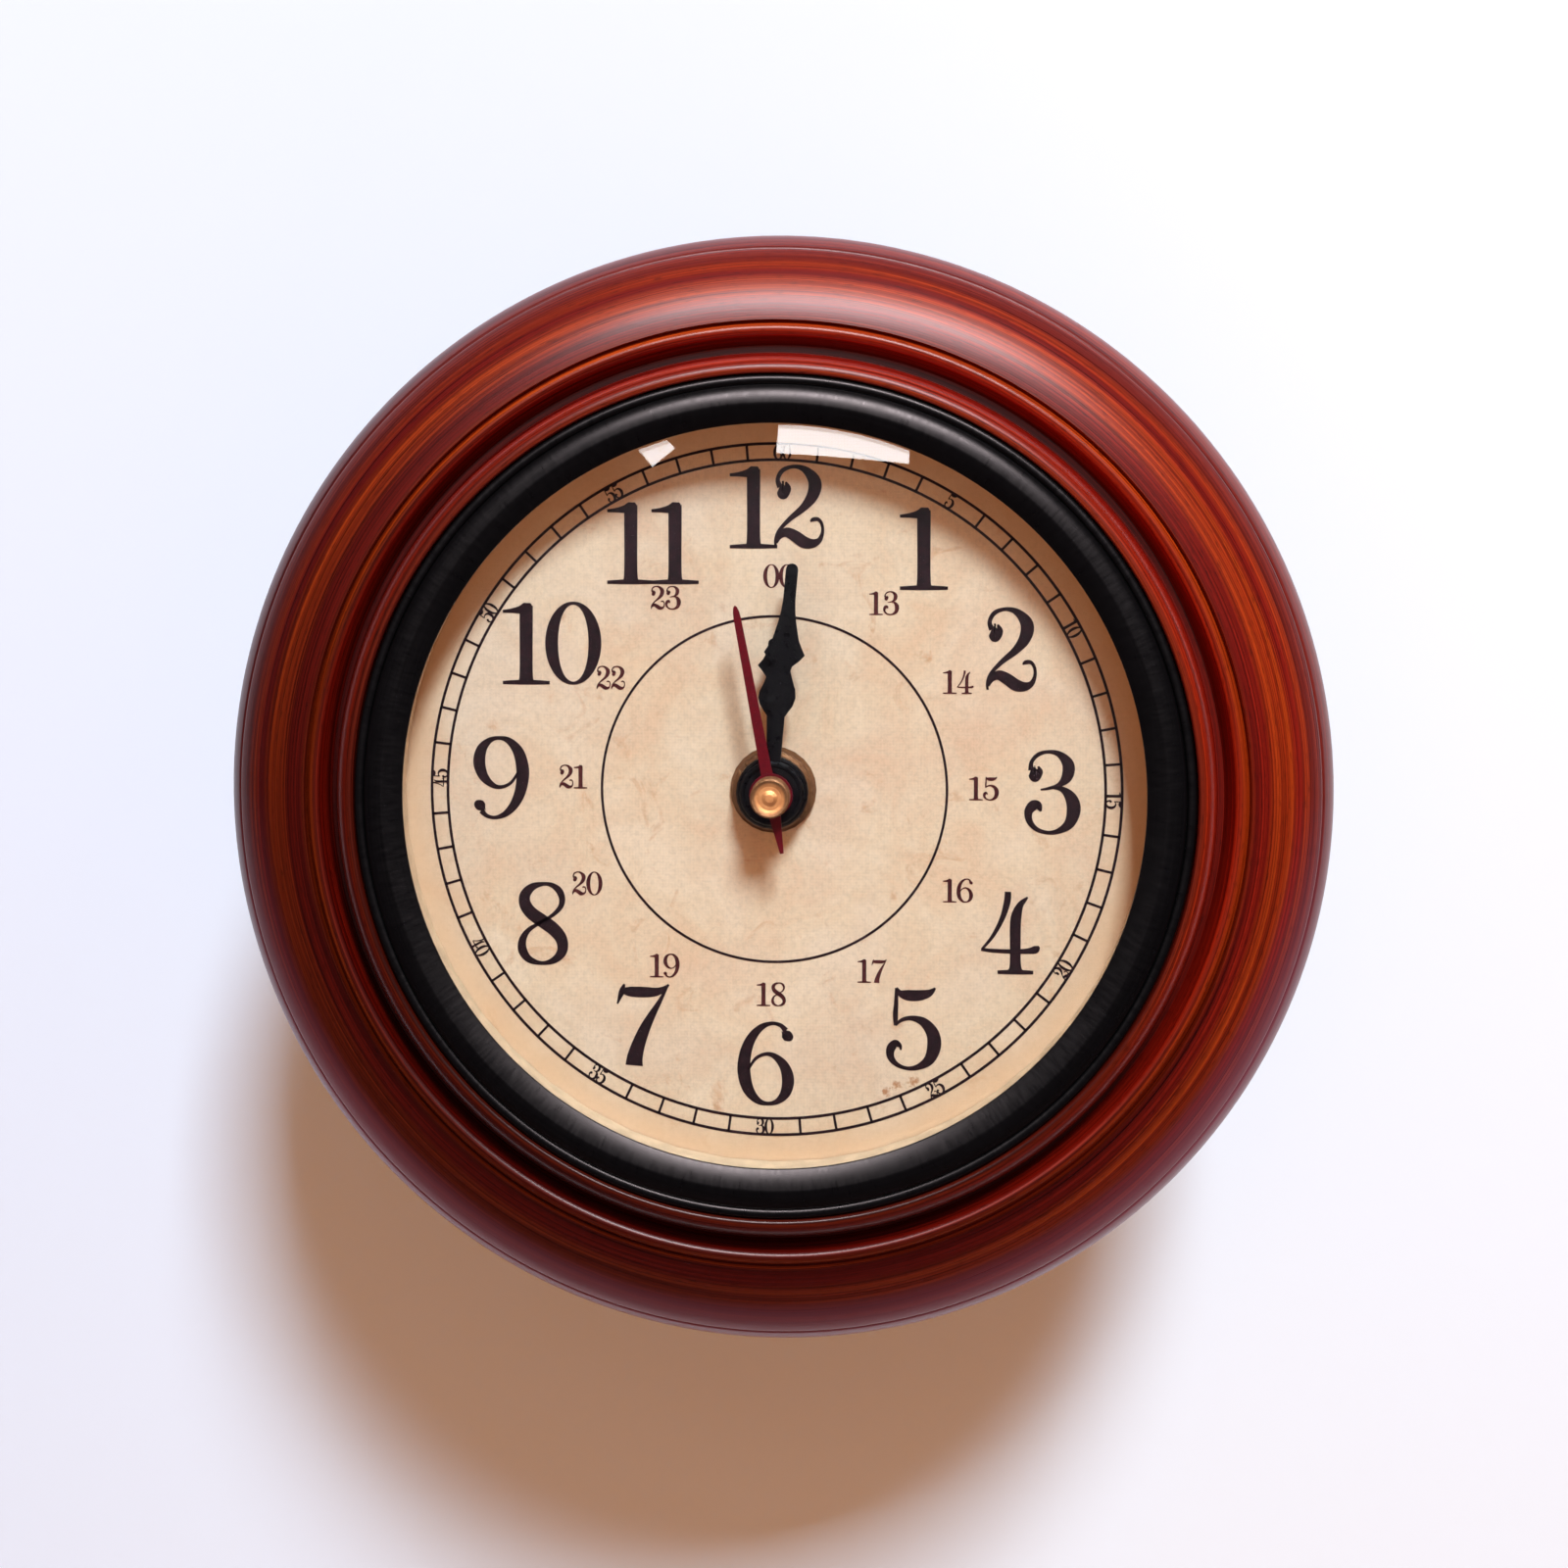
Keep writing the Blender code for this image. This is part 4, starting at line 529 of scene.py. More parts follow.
def clear_glass():
    """Thin clear glass that lets shadows and the light off the dial straight through."""
    finish = Finish("clear_glass", (1.0, 1.0, 1.0), 0.0)
    finish.set("Transmission Weight", 1.0)
    finish.set("IOR", 1.45)
    smudge = finish.noise(finish.place(), 0.06, 3.0)
    finish.roughness(finish.ramp(smudge, [(0.4, 0.0), (0.8, 0.03)]))
    path = finish.node("ShaderNodeLightPath")
    clear = plain_shader(finish.tree, "ShaderNodeBsdfTransparent")
    passes = finish.math("MAXIMUM", path.outputs["Is Shadow Ray"], path.outputs["Is Diffuse Ray"])
    finish.surface(blend_shaders(finish.tree, passes, finish.shader.outputs[0], clear))
    return finish.material


EDGE_TONE = linear(216, 176, 138)
# Share of the edge's tone by the distance from the axis in decimetres
EDGE_FADE = [(0.585, 0.0), (0.65, 0.7)]
STAIN_COLOUR = linear(196, 134, 84)
BLOT_COLOUR = linear(170, 98, 36)
BLOT_PLACES = [(20.1, -53.9), (21.9, -52.8), (24.9, -51.9)]
BLOT_SPREAD = 0.3


def parchment():
    """Aged paper printed on cloth: soft pink and tan clouds, fine specks and a few small stains."""
    finish = Finish("parchment_print", linear(228, 202, 172), 0.7)
    place = finish.place()
    axes = split(finish, place)
    wash = finish.noise(place, 0.022, 3.0, 0.55, 0.4)
    patch = finish.noise(place, 0.07, 5.0, 0.65, 0.8)
    speck = finish.noise(place, 1.3, 4.0, 0.75)
    weave = finish.math("ADD", thread(finish, axes["X"]), thread(finish, axes["Z"]))
    base = finish.ramp(wash, [
        (0.36, linear(224, 200, 176)),
        (0.50, linear(234, 210, 178)),
        (0.64, linear(230, 198, 170)),
    ])
    tint = finish.ramp(patch, [
        (0.36, linear(236, 216, 190)),
        (0.50, linear(227, 202, 172)),
        (0.66, linear(223, 185, 151)),
    ])
    base = finish.mix(0.55, base, tint)
    stain = finish.ramp(finish.noise(place, 0.13, 5.0, 0.65, 1.2), [(0.60, 0.0), (0.76, 0.6)])
    base = finish.mix(stain, base, STAIN_COLOUR)
    base = finish.shade(base, finish.ramp(speck, [(0.36, 0.92), (0.50, 1.01), (0.64, 1.06)]))
    cloth = finish.ramp(finish.math("MULTIPLY", weave, 0.25), [(0.2, 0.95), (0.8, 1.0)])
    base = finish.shade(base, cloth, 0.7)
    edge = finish.ramp(finish.math("MULTIPLY", axis_distance(finish, place), 0.01), EDGE_FADE)
    base = finish.mix(edge, base, EDGE_TONE)
    flat = finish.math_vector("MULTIPLY", place, FLAT)
    ragged = finish.math("SUBTRACT", speck, 0.5)
    for blot_x, blot_z in BLOT_PLACES:
        across = finish.length(finish.math_vector("SUBTRACT", flat, (blot_x, 0.0, blot_z)))
        away = finish.math("ADD", finish.math("MULTIPLY", across, BLOT_SPREAD), ragged)
        base = finish.mix(finish.ramp(away, [(0.06, 0.75), (0.28, 0.0)]), base, BLOT_COLOUR)
    finish.colour(base)
    finish.roughness(finish.ramp(speck, [(0.3, 0.62), (0.7, 0.78)]))
    finish.bump(weave, 0.10, 0.02 * MM)
    finish.set("Specular IOR Level", 0.25)
    return finish.material


def thread(finish, across, pitch=0.55):
    """A soft wave across one coordinate, one thread of canvas print to each pitch in millimetres."""
    wave = finish.math("SINE", finish.math("MULTIPLY", across, 2 * math.pi / pitch))
    return finish.math("ADD", wave, 1.0)


def ink(name, dark, faded):
    """Dull printer's ink, worn paler in places."""
    finish = Finish(name, dark, 0.6)
    fade = finish.noise(finish.place(), 0.9, 3.0, 0.7)
    finish.colour(finish.ramp(fade, [(0.35, dark), (0.70, faded)]))
    finish.roughness(finish.ramp(fade, [(0.3, 0.55), (0.7, 0.7)]))
    finish.set("Specular IOR Level", 0.12)
    return finish.material


TURNING_MARKS = 18.0
# Brown tone beyond the polished cap, partly tarnish and partly painted shade under the hands, by the distance
# from the axis in centimetres
TARNISH_AND_SHADE = [(0.24, 1.0), (0.28, 0.36), (0.45, 0.28)]


def metal(name, light, dark, roughness, spin=True, share=1.0):
    """Bright metal with slight tarnish: a plain grain, or turning marks and a brown tone further out, partly
    tarnish and partly painted shade.
    """
    finish = Finish(name, light, roughness, share)
    place = finish.place()
    tarnish = finish.noise(place, 0.5, 4.0, 0.6)
    tone = finish.ramp(tarnish, [(0.35, dark), (0.65, light)])
    if spin:
        radius = axis_distance(finish, place)
        # Darker further out: partly tarnish, partly painted shade
        tone = finish.shade(tone, finish.ramp(finish.math("MULTIPLY", radius, 0.1), TARNISH_AND_SHADE))
        marks = finish.math("SINE", finish.math("MULTIPLY", radius, TURNING_MARKS))
        finish.bump(marks, 0.18, 0.03 * MM)
    else:
        finish.bump(finish.noise(place, 6.0, 2.0), 0.12, 0.03 * MM)
    finish.colour(tone)
    finish.roughness(finish.ramp(tarnish, [(0.3, roughness + 0.08), (0.7, roughness)]))
    return finish.material


def painted(name, colour, worn, roughness):
    """Paint on thin metal with a light orange-peel surface."""
    finish = Finish(name, colour, roughness)
    place = finish.place()
    mottle = finish.noise(place, 1.2, 3.0)
    finish.colour(finish.ramp(mottle, [(0.4, colour), (0.75, worn)]))
    finish.roughness(finish.ramp(mottle, [(0.3, roughness), (0.7, roughness + 0.1)]))
    finish.bump(finish.noise(place, 5.0, 2.0), 0.06, 0.03 * MM)
    finish.set("Specular IOR Level", 0.2)
    return finish.material


def plastic(name, colour, roughness, grain=8.0, depth=0.15):
    """Moulded plastic with a fine eroded texture."""
    finish = Finish(name, colour, roughness)
    place = finish.place()
    fine = finish.noise(place, grain, 2.0)
    broad = finish.noise(place, 0.3, 3.0)
    darker = tuple(0.8 * c for c in colour)
    finish.colour(finish.ramp(broad, [(0.35, darker), (0.65, colour)]))
    finish.roughness(finish.ramp(fine, [(0.3, roughness - 0.05), (0.7, roughness + 0.08)]))
    finish.bump(fine, depth, 0.04 * MM)
    return finish.material


def hardboard():
    """Pressed brown fibre board."""
    finish = Finish("hardboard", linear(126, 88, 56), 0.85)
    place = finish.place()
    fibre = finish.noise(place, 1.1, 5.0, 0.75, 1.5)
    broad = finish.noise(place, 0.05, 3.0)
    tone = finish.ramp(fibre, [
        (0.32, linear(92, 60, 36)),
        (0.50, linear(132, 92, 58)),
        (0.72, linear(166, 126, 84)),
    ])
    finish.colour(finish.shade(tone, finish.ramp(broad, [(0.3, 0.82), (0.7, 1.0)])))
    finish.bump(fibre, 0.35, 0.08 * MM)
    return finish.material


WIRE_PITCH = 0.25


def winding():
    """Fine enamelled wire wound side by side along X."""
    finish = Finish("copper_wire", linear(184, 92, 44), 0.35, 1.0)
    x = split(finish, finish.place())["X"]
    turns = finish.math("SINE", finish.math("MULTIPLY", x, 2 * math.pi / WIRE_PITCH))
    # Painted shade and highlight: darker between the turns, paler on their crests
    finish.colour(finish.ramp(turns, [(0.0, linear(120, 52, 24)), (0.7, linear(196, 104, 52))]))
    finish.bump(turns, 0.4, 0.05 * MM)
    return finish.material


def battery_jacket():
    """A plain film jacket: dark over most of its length, with a copper-coloured end."""
    finish = Finish("battery_jacket", linear(24, 24, 28), 0.28)
    low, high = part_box("battery")
    x = split(finish, finish.place())["X"]
    share = finish.math("DIVIDE", finish.math("SUBTRACT", x, low[0] / MM), (high[0] - low[0]) / MM)
    band = finish.ramp(share, [(0.0, 0.0), (0.28, 0.0), (0.281, 1.0)])
    finish.colour(finish.mix(band, linear(176, 104, 52), linear(22, 22, 26)))
    scuff = finish.noise(finish.place(), 0.8, 4.0)
    finish.roughness(finish.ramp(scuff, [(0.3, 0.22), (0.7, 0.38)]))
    finish.bump(scuff, 0.05, 0.03 * MM)
    return finish.material


# Turned pieces


def case_profile():
    """The moulding's outline, from the inner bead over the front, round the back and up the bores."""
    bore = CASE_RADIUS - FRAME_WIDTH
    crest = bore + INNER_BEAD_SHOULDER
    groove = bore + INNER_BEAD_WIDTH
    groove_end = groove + GROOVE_WIDTH
    floor = CASE_DEPTH - GROOVE_DROP
    wide = OUTER_BEAD_WIDTH / 2
    bead = groove_end + GROOVE_SLOPE_WIDTH + wide
    bead_base = CASE_DEPTH - OUTER_BEAD_DROP
    quirk = bead + wide
    ovolo = CASE_RADIUS - OVOLO_CENTRE_INSET
    belly = CASE_DEPTH * BELLY_SHARE
    reach = CASE_RADIUS - ovolo
    rise = CASE_DEPTH - OVOLO_CREST_DROP - belly
    start = math.degrees(math.acos((quirk + QUIRK_WIDTH - ovolo) / reach))
    edge = CASE_RADIUS - OVOLO_EDGE_INSET
    end = math.acos((edge - ovolo) / reach)
    edge_height = belly + rise * math.sin(end)
    back = CASE_RADIUS - BACK_INSET
    side = math.acos((edge + EDGE_STEP - back) / BACK_INSET)
    side_rise = (edge_height - EDGE_STEP - belly) / math.sin(side)
    shoulder = (INNER_BEAD_SHOULDER, INNER_BEAD_EDGE_DROP)
    points = arc((crest, CASE_DEPTH - INNER_BEAD_EDGE_DROP), shoulder, 180, 90, SHOULDER_STEPS)
    fall = (groove - crest, INNER_BEAD_FALL)
    points += arc((crest, CASE_DEPTH - INNER_BEAD_FALL), fall, 90, 0, 2 * ARC_STEPS)[1:]
    points += [(groove + GROOVE_SIDE, floor), (groove_end, floor)]
    points += arc((bead, bead_base), (wide, OUTER_BEAD_RISE), 180, OUTER_BEAD_END)
    points += [(quirk + QUIRK_WIDTH / 2, CASE_DEPTH - QUIRK_DROP)]
    points += arc((ovolo, belly), (reach, rise), start, math.degrees(end), 3 * ARC_STEPS)
    points += [(edge, edge_height - EDGE_STEP)]
    points += arc((back, belly), (BACK_INSET, side_rise), math.degrees(side), 0)
    points += arc((back, belly), (BACK_INSET, belly), 0, -90)[1:]
    rear_bore = bore - SHOULDER_WIDTH
    points += [(rear_bore, 0.0), (rear_bore, SHOULDER), (bore, SHOULDER)]
    return points


def make_case(finish):
    """The turned case, with the hanger's recess and the pocket for the nail's head cut into its back."""
    low = (PLATE_LOW[0] - GAP, PLATE_LOW[2] - GAP)
    high = (PLATE_HIGH[0] + GAP, PLATE_HIGH[2] + GAP)
    recess = prism(rounded_rectangle(low, high, RECESS_CORNER), RECESS_DEPTH, -MM)
    middle = (low[1] + high[1]) / 2
    pocket_low = (-POCKET_HALF, middle - POCKET_BELOW)
    pocket_high = (POCKET_HALF, middle + POCKET_ABOVE)
    pocket = prism(rounded_rectangle(pocket_low, pocket_high, POCKET_CORNER), POCKET_DEPTH, MM)
    mesh = carved(lathe("turned_case", case_profile()), [recess, pocket])
    case = new_piece("turned_case", mesh, finish, angle=CASE_SHARPNESS)
    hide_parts("wooden_case")


def dome_height(radius):
    """Height of the dome's inner face at a radius, on a sphere through its edge and its top."""
    rise = GLASS_TOP - GLASS_THICKNESS - GLASS_SEAT
    sphere = (GLASS_RADIUS**2 + rise**2) / (2 * rise)
    return GLASS_SEAT + rise - sphere + math.sqrt(sphere**2 - radius**2)


def make_ring(finish):
    """The black ring: a lip over the glass, a slope that falls outward and a fine bead at its edge."""
    opening = RING_RADIUS + GAP - RING_WIDTH
    pocket = GLASS_RADIUS + GAP
    crest = opening + RING_SLOPE
    lip_under = dome_height(opening) + GLASS_THICKNESS + GAP
    lip_top = lip_under + LIP_THICKNESS
    bead_base = lip_top + RING_CREST_RISE - RING_CREST_DROP
    bead = RING_RADIUS - RING_BEAD_WIDTH / 2
    fall = RING_RADIUS - RING_BEAD_WIDTH - crest
    rounding = (LIP_ROUNDING, LIP_ROUNDING)
    beading = (RING_BEAD_WIDTH / 2, RING_BEAD_RISE)
    points = arc((opening + LIP_ROUNDING, lip_top - LIP_ROUNDING), rounding, 180, LIP_END, CORNER_STEPS)
    points += arc((crest, bead_base), (fall, RING_CREST_DROP), 90, 0, RING_SLOPE_STEPS)
    points += arc((bead, bead_base), beading, RING_BEAD_START, 0, RING_BEAD_STEPS)
    points += [
        (RING_RADIUS, GLASS_SEAT),
        (pocket, GLASS_SEAT),
        (pocket, dome_height(GLASS_RADIUS) + GLASS_THICKNESS + GAP),
        (opening, lip_under),
    ]
    ring = new_piece("black_ring", lathe("black_ring", points), finish)
    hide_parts("bezel_ring")


def make_glass(finish):
    """The dome as one closed shell: a grid of rings outside, a rim and the same rings inside."""
    radii = [GLASS_RADIUS * i / DOME_RINGS for i in range(DOME_RINGS + 1)]
    heights = [(radius, dome_height(radius)) for radius in radii]
    shape = bmesh.new()
    outer = dome_side(shape, [(r, h + GLASS_THICKNESS) for r, h in heights])
    inner = dome_side(shape, heights)
    for i in range(TURNED_STEPS):
        j = (i + 1) % TURNED_STEPS
        shape.faces.new((outer[i], outer[j], inner[j], inner[i]))
    glass = new_piece("glass_dome", closed_mesh("glass_dome", shape), finish)
    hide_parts("domed_glass")


def dome_side(shape, profile):
    """One side of the dome, from its middle out. Returns the ring of vertices at its edge."""
    middle = shape.verts.new((0.0, -profile[0][1], 0.0))
    before = None
    for point in profile[1:]:
        here = [turned_row(shape, [point], step)[0] for step in range(TURNED_STEPS)]
        for i in range(TURNED_STEPS):
            j = (i + 1) % TURNED_STEPS
            inside = (before[i], before[j]) if before else (middle,)
            shape.faces.new((*inside, here[j], here[i]))
        before = here
    return before


# Numerals. A stroke is a row of (x, y, half width) points in a figure this many units high.
FIGURE_HEIGHT = 1000
FOOT_ONE = [(-310, 18, 16), (0, 24, 24), (310, 18, 16)]
STEM_ONE = [(0, 0, 150), (0, 40, 95), (0, 130, 68), (0, 800, 68), (0, 955, 68)]
FLAG_ONE = [(-310, 885, 14), (-190, 893, 22), (-80, 905, 38), (0, 930, 52), (64, 975, 12)]
NECK_TWO = [
    (75, 740, 30), (45, 830, 22), (110, 940, 22), (260, 985, 18), (410, 940, 36), (525, 800, 66),
    (500, 640, 60), (380, 490, 38), (200, 350, 24), (60, 210, 17), (15, 100, 14), (20, 15, 12),
]
BALL_TWO = [(60, 720, 45), (115, 700, 88), (170, 730, 40), (150, 800, 8)]
BASE_TWO = [
    (30, 60, 10), (75, 150, 30), (160, 190, 46), (270, 145, 56), (380, 75, 58), (490, 55, 44),
    (580, 90, 28), (625, 180, 18), (622, 280, 16), (575, 345, 18), (505, 345, 20), (470, 320, 8),
]
TOP_THREE = [
    (80, 760, 30), (85, 860, 20), (170, 950, 20), (310, 985, 17), (450, 950, 32), (555, 830, 60),
    (540, 690, 56), (440, 590, 24), (300, 545, 14), (200, 530, 8),
]
BALL_THREE = [(65, 740, 40), (130, 720, 78), (190, 750, 34), (170, 810, 8)]
BOWL_THREE = [
    (340, 555, 10), (480, 535, 28), (590, 430, 60), (625, 290, 70), (570, 130, 52), (440, 40, 28),
    (300, 15, 18), (150, 55, 22), (60, 150, 32), (45, 260, 42), (100, 335, 50), (170, 335, 42),
    (205, 270, 10),
]
DIAGONAL_FOUR = [(345, 985, 32), (335, 860, 34), (270, 660, 26), (150, 450, 18), (10, 290, 12)]
BAR_FOUR = [(0, 290, 14), (150, 275, 18), (400, 268, 20), (600, 275, 26), (700, 295, 36), (745, 330, 12)]
STEM_FOUR = [
    (440, 0, 120), (440, 40, 80), (440, 130, 55), (440, 550, 55), (455, 700, 52), (500, 820, 34),
    (560, 885, 20), (600, 920, 8),
]
FOOT_FOUR = [(210, 18, 17), (440, 22, 22), (670, 18, 17)]
FLAG_FIVE = [(125, 985, 10), (170, 920, 30), (270, 895, 50), (420, 895, 50), (550, 925, 34), (625, 985, 10)]
NECK_FIVE = [(125, 980, 16), (120, 800, 22), (110, 660, 26), (115, 530, 20)]
BOWL_FIVE = [
    (110, 535, 12), (200, 600, 18), (330, 620, 24), (480, 570, 44), (590, 440, 64), (610, 290, 70),
    (550, 130, 54), (420, 40, 30), (270, 15, 18), (130, 60, 22), (50, 150, 36), (50, 250, 44),
    (110, 310, 38), (170, 285, 20), (180, 235, 8),
]
BODY_SIX = [
    (610, 900, 30), (540, 965, 20), (420, 985, 18), (280, 930, 32), (160, 800, 48), (85, 620, 60),
    (65, 400, 66), (120, 190, 56), (240, 55, 34), (370, 16, 18), (500, 45, 28), (605, 150, 52),
    (640, 310, 62), (590, 470, 50), (480, 580, 30), (360, 615, 18), (220, 560, 16), (120, 420, 12),
]
BALL_SIX = [(640, 900, 20), (625, 845, 70), (575, 800, 20)]
FLAG_SEVEN = [(85, 905, 26), (180, 895, 46), (360, 890, 50), (520, 895, 40), (620, 930, 26), (690, 985, 10)]
HOOK_SEVEN = [(105, 985, 10), (75, 900, 30), (40, 810, 18), (15, 745, 8)]
STEM_SEVEN = [
    (670, 960, 10), (575, 790, 22), (470, 620, 38), (370, 440, 55), (290, 250, 68), (245, 100, 80),
    (235, 0, 88),
]
LOOP_EIGHT = [
    (370, 982, 18), (220, 945, 36), (125, 850, 54), (120, 740, 60), (200, 630, 62), (350, 530, 64),
    (500, 430, 64), (600, 310, 60), (610, 170, 52), (510, 60, 34), (350, 18, 18), (180, 60, 34),
    (90, 170, 46), (90, 300, 38), (170, 420, 24), (320, 510, 16), (480, 600, 18), (585, 700, 26),
    (610, 800, 32), (570, 900, 34), (480, 965, 24), (370, 982, 18),
]
ZERO_SIDE = 66
ZERO_TOP = 14
ZERO_MIDDLE = (350, 500)
ZERO_RADII = (285, 486)
ZERO_SWELL = 1.6
ZERO_STEPS = 28


def oval_zero():
    """An oval whose stroke swells from the top and foot to the sides."""
    points = []
    for i in range(ZERO_STEPS + 1):
        turn = 2 * math.pi * i / ZERO_STEPS
        x = ZERO_MIDDLE[0] + ZERO_RADII[0] * math.cos(turn)
        y = ZERO_MIDDLE[1] + ZERO_RADII[1] * math.sin(turn)
        points.append((x, y, ZERO_TOP + (ZERO_SIDE - ZERO_TOP) * abs(math.cos(turn)) ** ZERO_SWELL))
    return points


def upside_down(strokes, width):
    return [[(width - x, FIGURE_HEIGHT - y, half) for x, y, half in stroke] for stroke in strokes]


# Strokes and width of each figure. The one's strokes are drawn about its stem.
WIDTH_ONE = 620
ONE = [[(x + WIDTH_ONE / 2, y, half) for x, y, half in stroke] for stroke in (FOOT_ONE, STEM_ONE, FLAG_ONE)]
WIDTH_SIX = 700
SIX = [BODY_SIX, BALL_SIX]
FIGURES = {
    "0": ([oval_zero()], 2 * ZERO_MIDDLE[0]),
    "1": (ONE, WIDTH_ONE),
    "2": ([NECK_TWO, BALL_TWO, BASE_TWO], 650),
    "3": ([TOP_THREE, BALL_THREE, BOWL_THREE], 700),
    "4": ([DIAGONAL_FOUR, BAR_FOUR, STEM_FOUR, FOOT_FOUR], 750),
    "5": ([FLAG_FIVE, NECK_FIVE, BOWL_FIVE], 680),
    "6": (SIX, WIDTH_SIX),
    "7": ([FLAG_SEVEN, HOOK_SEVEN, STEM_SEVEN], 700),
    "8": ([LOOP_EIGHT], 700),
    "9": (upside_down(SIX, WIDTH_SIX), WIDTH_SIX),
}
STROKE_STEPS = 5
THINNEST_STROKE = 4


def smooth_path(points):
    """The points with a Catmull-Rom curve between them, width included."""
    closed = math.dist(points[0][:2], points[-1][:2]) < THINNEST_STROKE
    before = [points[-2]] if closed else [points[0]]
    after = [points[1]] if closed else [points[-1]]
    padded = [Vector(p) for p in before + points + after]
    path = []
    for i in range(1, len(padded) - 2):
        a, b, c, d = padded[i - 1 : i + 3]
        square = 2 * a - 5 * b + 4 * c - d
        cube = 3 * b - 3 * c + d - a
        for step in range(STROKE_STEPS):
            t = step / STROKE_STEPS
            path.append(0.5 * (2 * b + (c - a) * t + square * t**2 + cube * t**3))
    if not closed:
        path.append(padded[-2])
    return path, closed


def stroke_sides(points, bolder):
    """Left and right edges of a pen stroke."""
    path, closed = smooth_path(points)
    count = len(path)
    left, right = [], []
    for i, point in enumerate(path):
        ahead = path[(i + 1) % count] if closed else path[min(i + 1, count - 1)]
        behind = path[i - 1] if closed else path[max(i - 1, 0)]
        along = Vector((ahead.x - behind.x, ahead.y - behind.y)).normalized()
        across = Vector((-along.y, along.x)) * max(point.z, THINNEST_STROKE) * bolder
        left.append((point.x + across.x, point.y + across.y))
        right.append((point.x - across.x, point.y - across.y))
    return left, right, closed


def add_slab(shape, left, right, closed, layer=0):
    """A thin closed solid between the two edges of a stroke, on the dial's face. Each layer is a little
    higher than the last, so that strokes that cross share no face."""
    front = DIAL_FACE + INK_LIFT + INK_THICKNESS + layer * LAYER_STEP
    back = DIAL_FACE + INK_LIFT
    rows = []
    for height in (front, back):
        rows.append([shape.verts.new((x, -height, z)) for x, z in left])
        rows.append([shape.verts.new((x, -height, z)) for x, z in right])
    front_left, front_right, back_left, back_right = rows
    count = len(left)
    for i in range(count if closed else count - 1):
        j = (i + 1) % count
        shape.faces.new((front_left[i], front_left[j], front_right[j], front_right[i]))
        shape.faces.new((back_left[j], back_left[i], back_right[i], back_right[j]))
        shape.faces.new((front_left[j], front_left[i], back_left[i], back_left[j]))
        shape.faces.new((front_right[i], front_right[j], back_right[j], back_right[i]))
    if not closed:
        for i in (0, count - 1):
            shape.faces.new((front_left[i], front_right[i], back_right[i], back_left[i]))


def clock_place(radius, minute):
    """A place on the dial at a radius and a minute, in the dial's own plane."""
    turn = math.radians(6 * minute) - PRINT_TURN
    return Vector((radius * math.sin(turn), radius * math.cos(turn)))


def add_number(shape, text, centre, height, turn=0.0, bolder=1.0, squeeze=1.0, gap=30):
    """Adds a number about its centre, with every stroke bolder and the whole squeezed across."""
    placing = Matrix.Rotation(-turn, 2) @ Matrix.Diagonal((squeeze, 1.0)) * (height / FIGURE_HEIGHT)
    span = sum(FIGURES[figure][1] + gap for figure in text) - gap
    corner = Vector((span, FIGURE_HEIGHT)) / -2
    layer = 0
    for figure in text:
        strokes, width = FIGURES[figure]
        for stroke in strokes:
            left, right, closed = stroke_sides(stroke, bolder)
            sides = [[tuple(placing @ (Vector(p) + corner) + centre) for p in side] for side in (left, right)]
            add_slab(shape, *sides, closed, layer)
            layer += 1
        corner.x += width + gap


def add_circle(shape, radius, width):
    rays = [clock_place(1.0, 60 * i / TURNED_STEPS) for i in range(TURNED_STEPS)]
    left, right = [[tuple(ray * side) for ray in rays] for side in (radius + width / 2, radius - width / 2)]
    add_slab(shape, left, right, True)


def finish_print(name, shape, finish):
    piece = new_piece(name, closed_mesh(name, shape), finish)


def add_numbers(shape, places, height, look):
    for text, place in places.items():
        add_number(shape, text, Vector(place) * MM, height, **look)


def make_hour_numerals(finish):
    shape = bmesh.new()
    add_numbers(shape, NUMERAL_PLACES, NUMERAL_HEIGHT, NUMERAL_LOOK)
    finish_print("hour_numerals", shape, finish)


def make_small_numerals(finish):
    shape = bmesh.new()
    add_numbers(shape, SMALL_PLACES, SMALL_HEIGHT, SMALL_LOOK)
    finish_print("small_numerals", shape, finish)


def make_minute_track(finish):
    """Two circles with a tick at each minute, and a small number in place of every fifth tick."""
    shape = bmesh.new()
    add_circle(shape, TRACK_INNER, TRACK_LINE)
    add_circle(shape, TRACK_OUTER, TRACK_LINE)
    middle = (TRACK_INNER + TRACK_OUTER) / 2
    for minute in range(1, 61):
        if minute % 5:
            inner = clock_place(TRACK_INNER, minute)
            outer = clock_place(TRACK_OUTER, minute)
            across = clock_place(TRACK_TICK / 2, minute + 15)
            left = [tuple(p + across) for p in (inner, outer)]
            right = [tuple(p - across) for p in (inner, outer)]
            add_slab(shape, left, right, False)
        else:
            head_down = 15 < minute < 45
            turn = math.radians(6 * minute) + (math.pi if head_down else 0.0)
            add_number(shape, str(minute), clock_place(middle, minute), TRACK_HEIGHT, turn, **TRACK_LOOK)
    finish_print("minute_track", shape, finish)


def make_centre_ring(finish):
    shape = bmesh.new()
    add_circle(shape, CENTRE_RING, CENTRE_LINE)
    finish_print("centre_ring", shape, finish)


# Stage, light and camera

WALL_WIDTH = 8.0
WALL_TOP = 3.0
FLOOR_DROP = 3.0
FLOOR_REACH = 3.0
SWEEP_RADIUS = 0.4
SWEEP_STEPS = 12
FLOOR_START = 1.0
FADE_START = 0.5
FADE_END = 1.4
FLOOR_REFLECTED = (0.08, 0.06, 0.07)
WALL_DISTANCE = 58.0 * MM
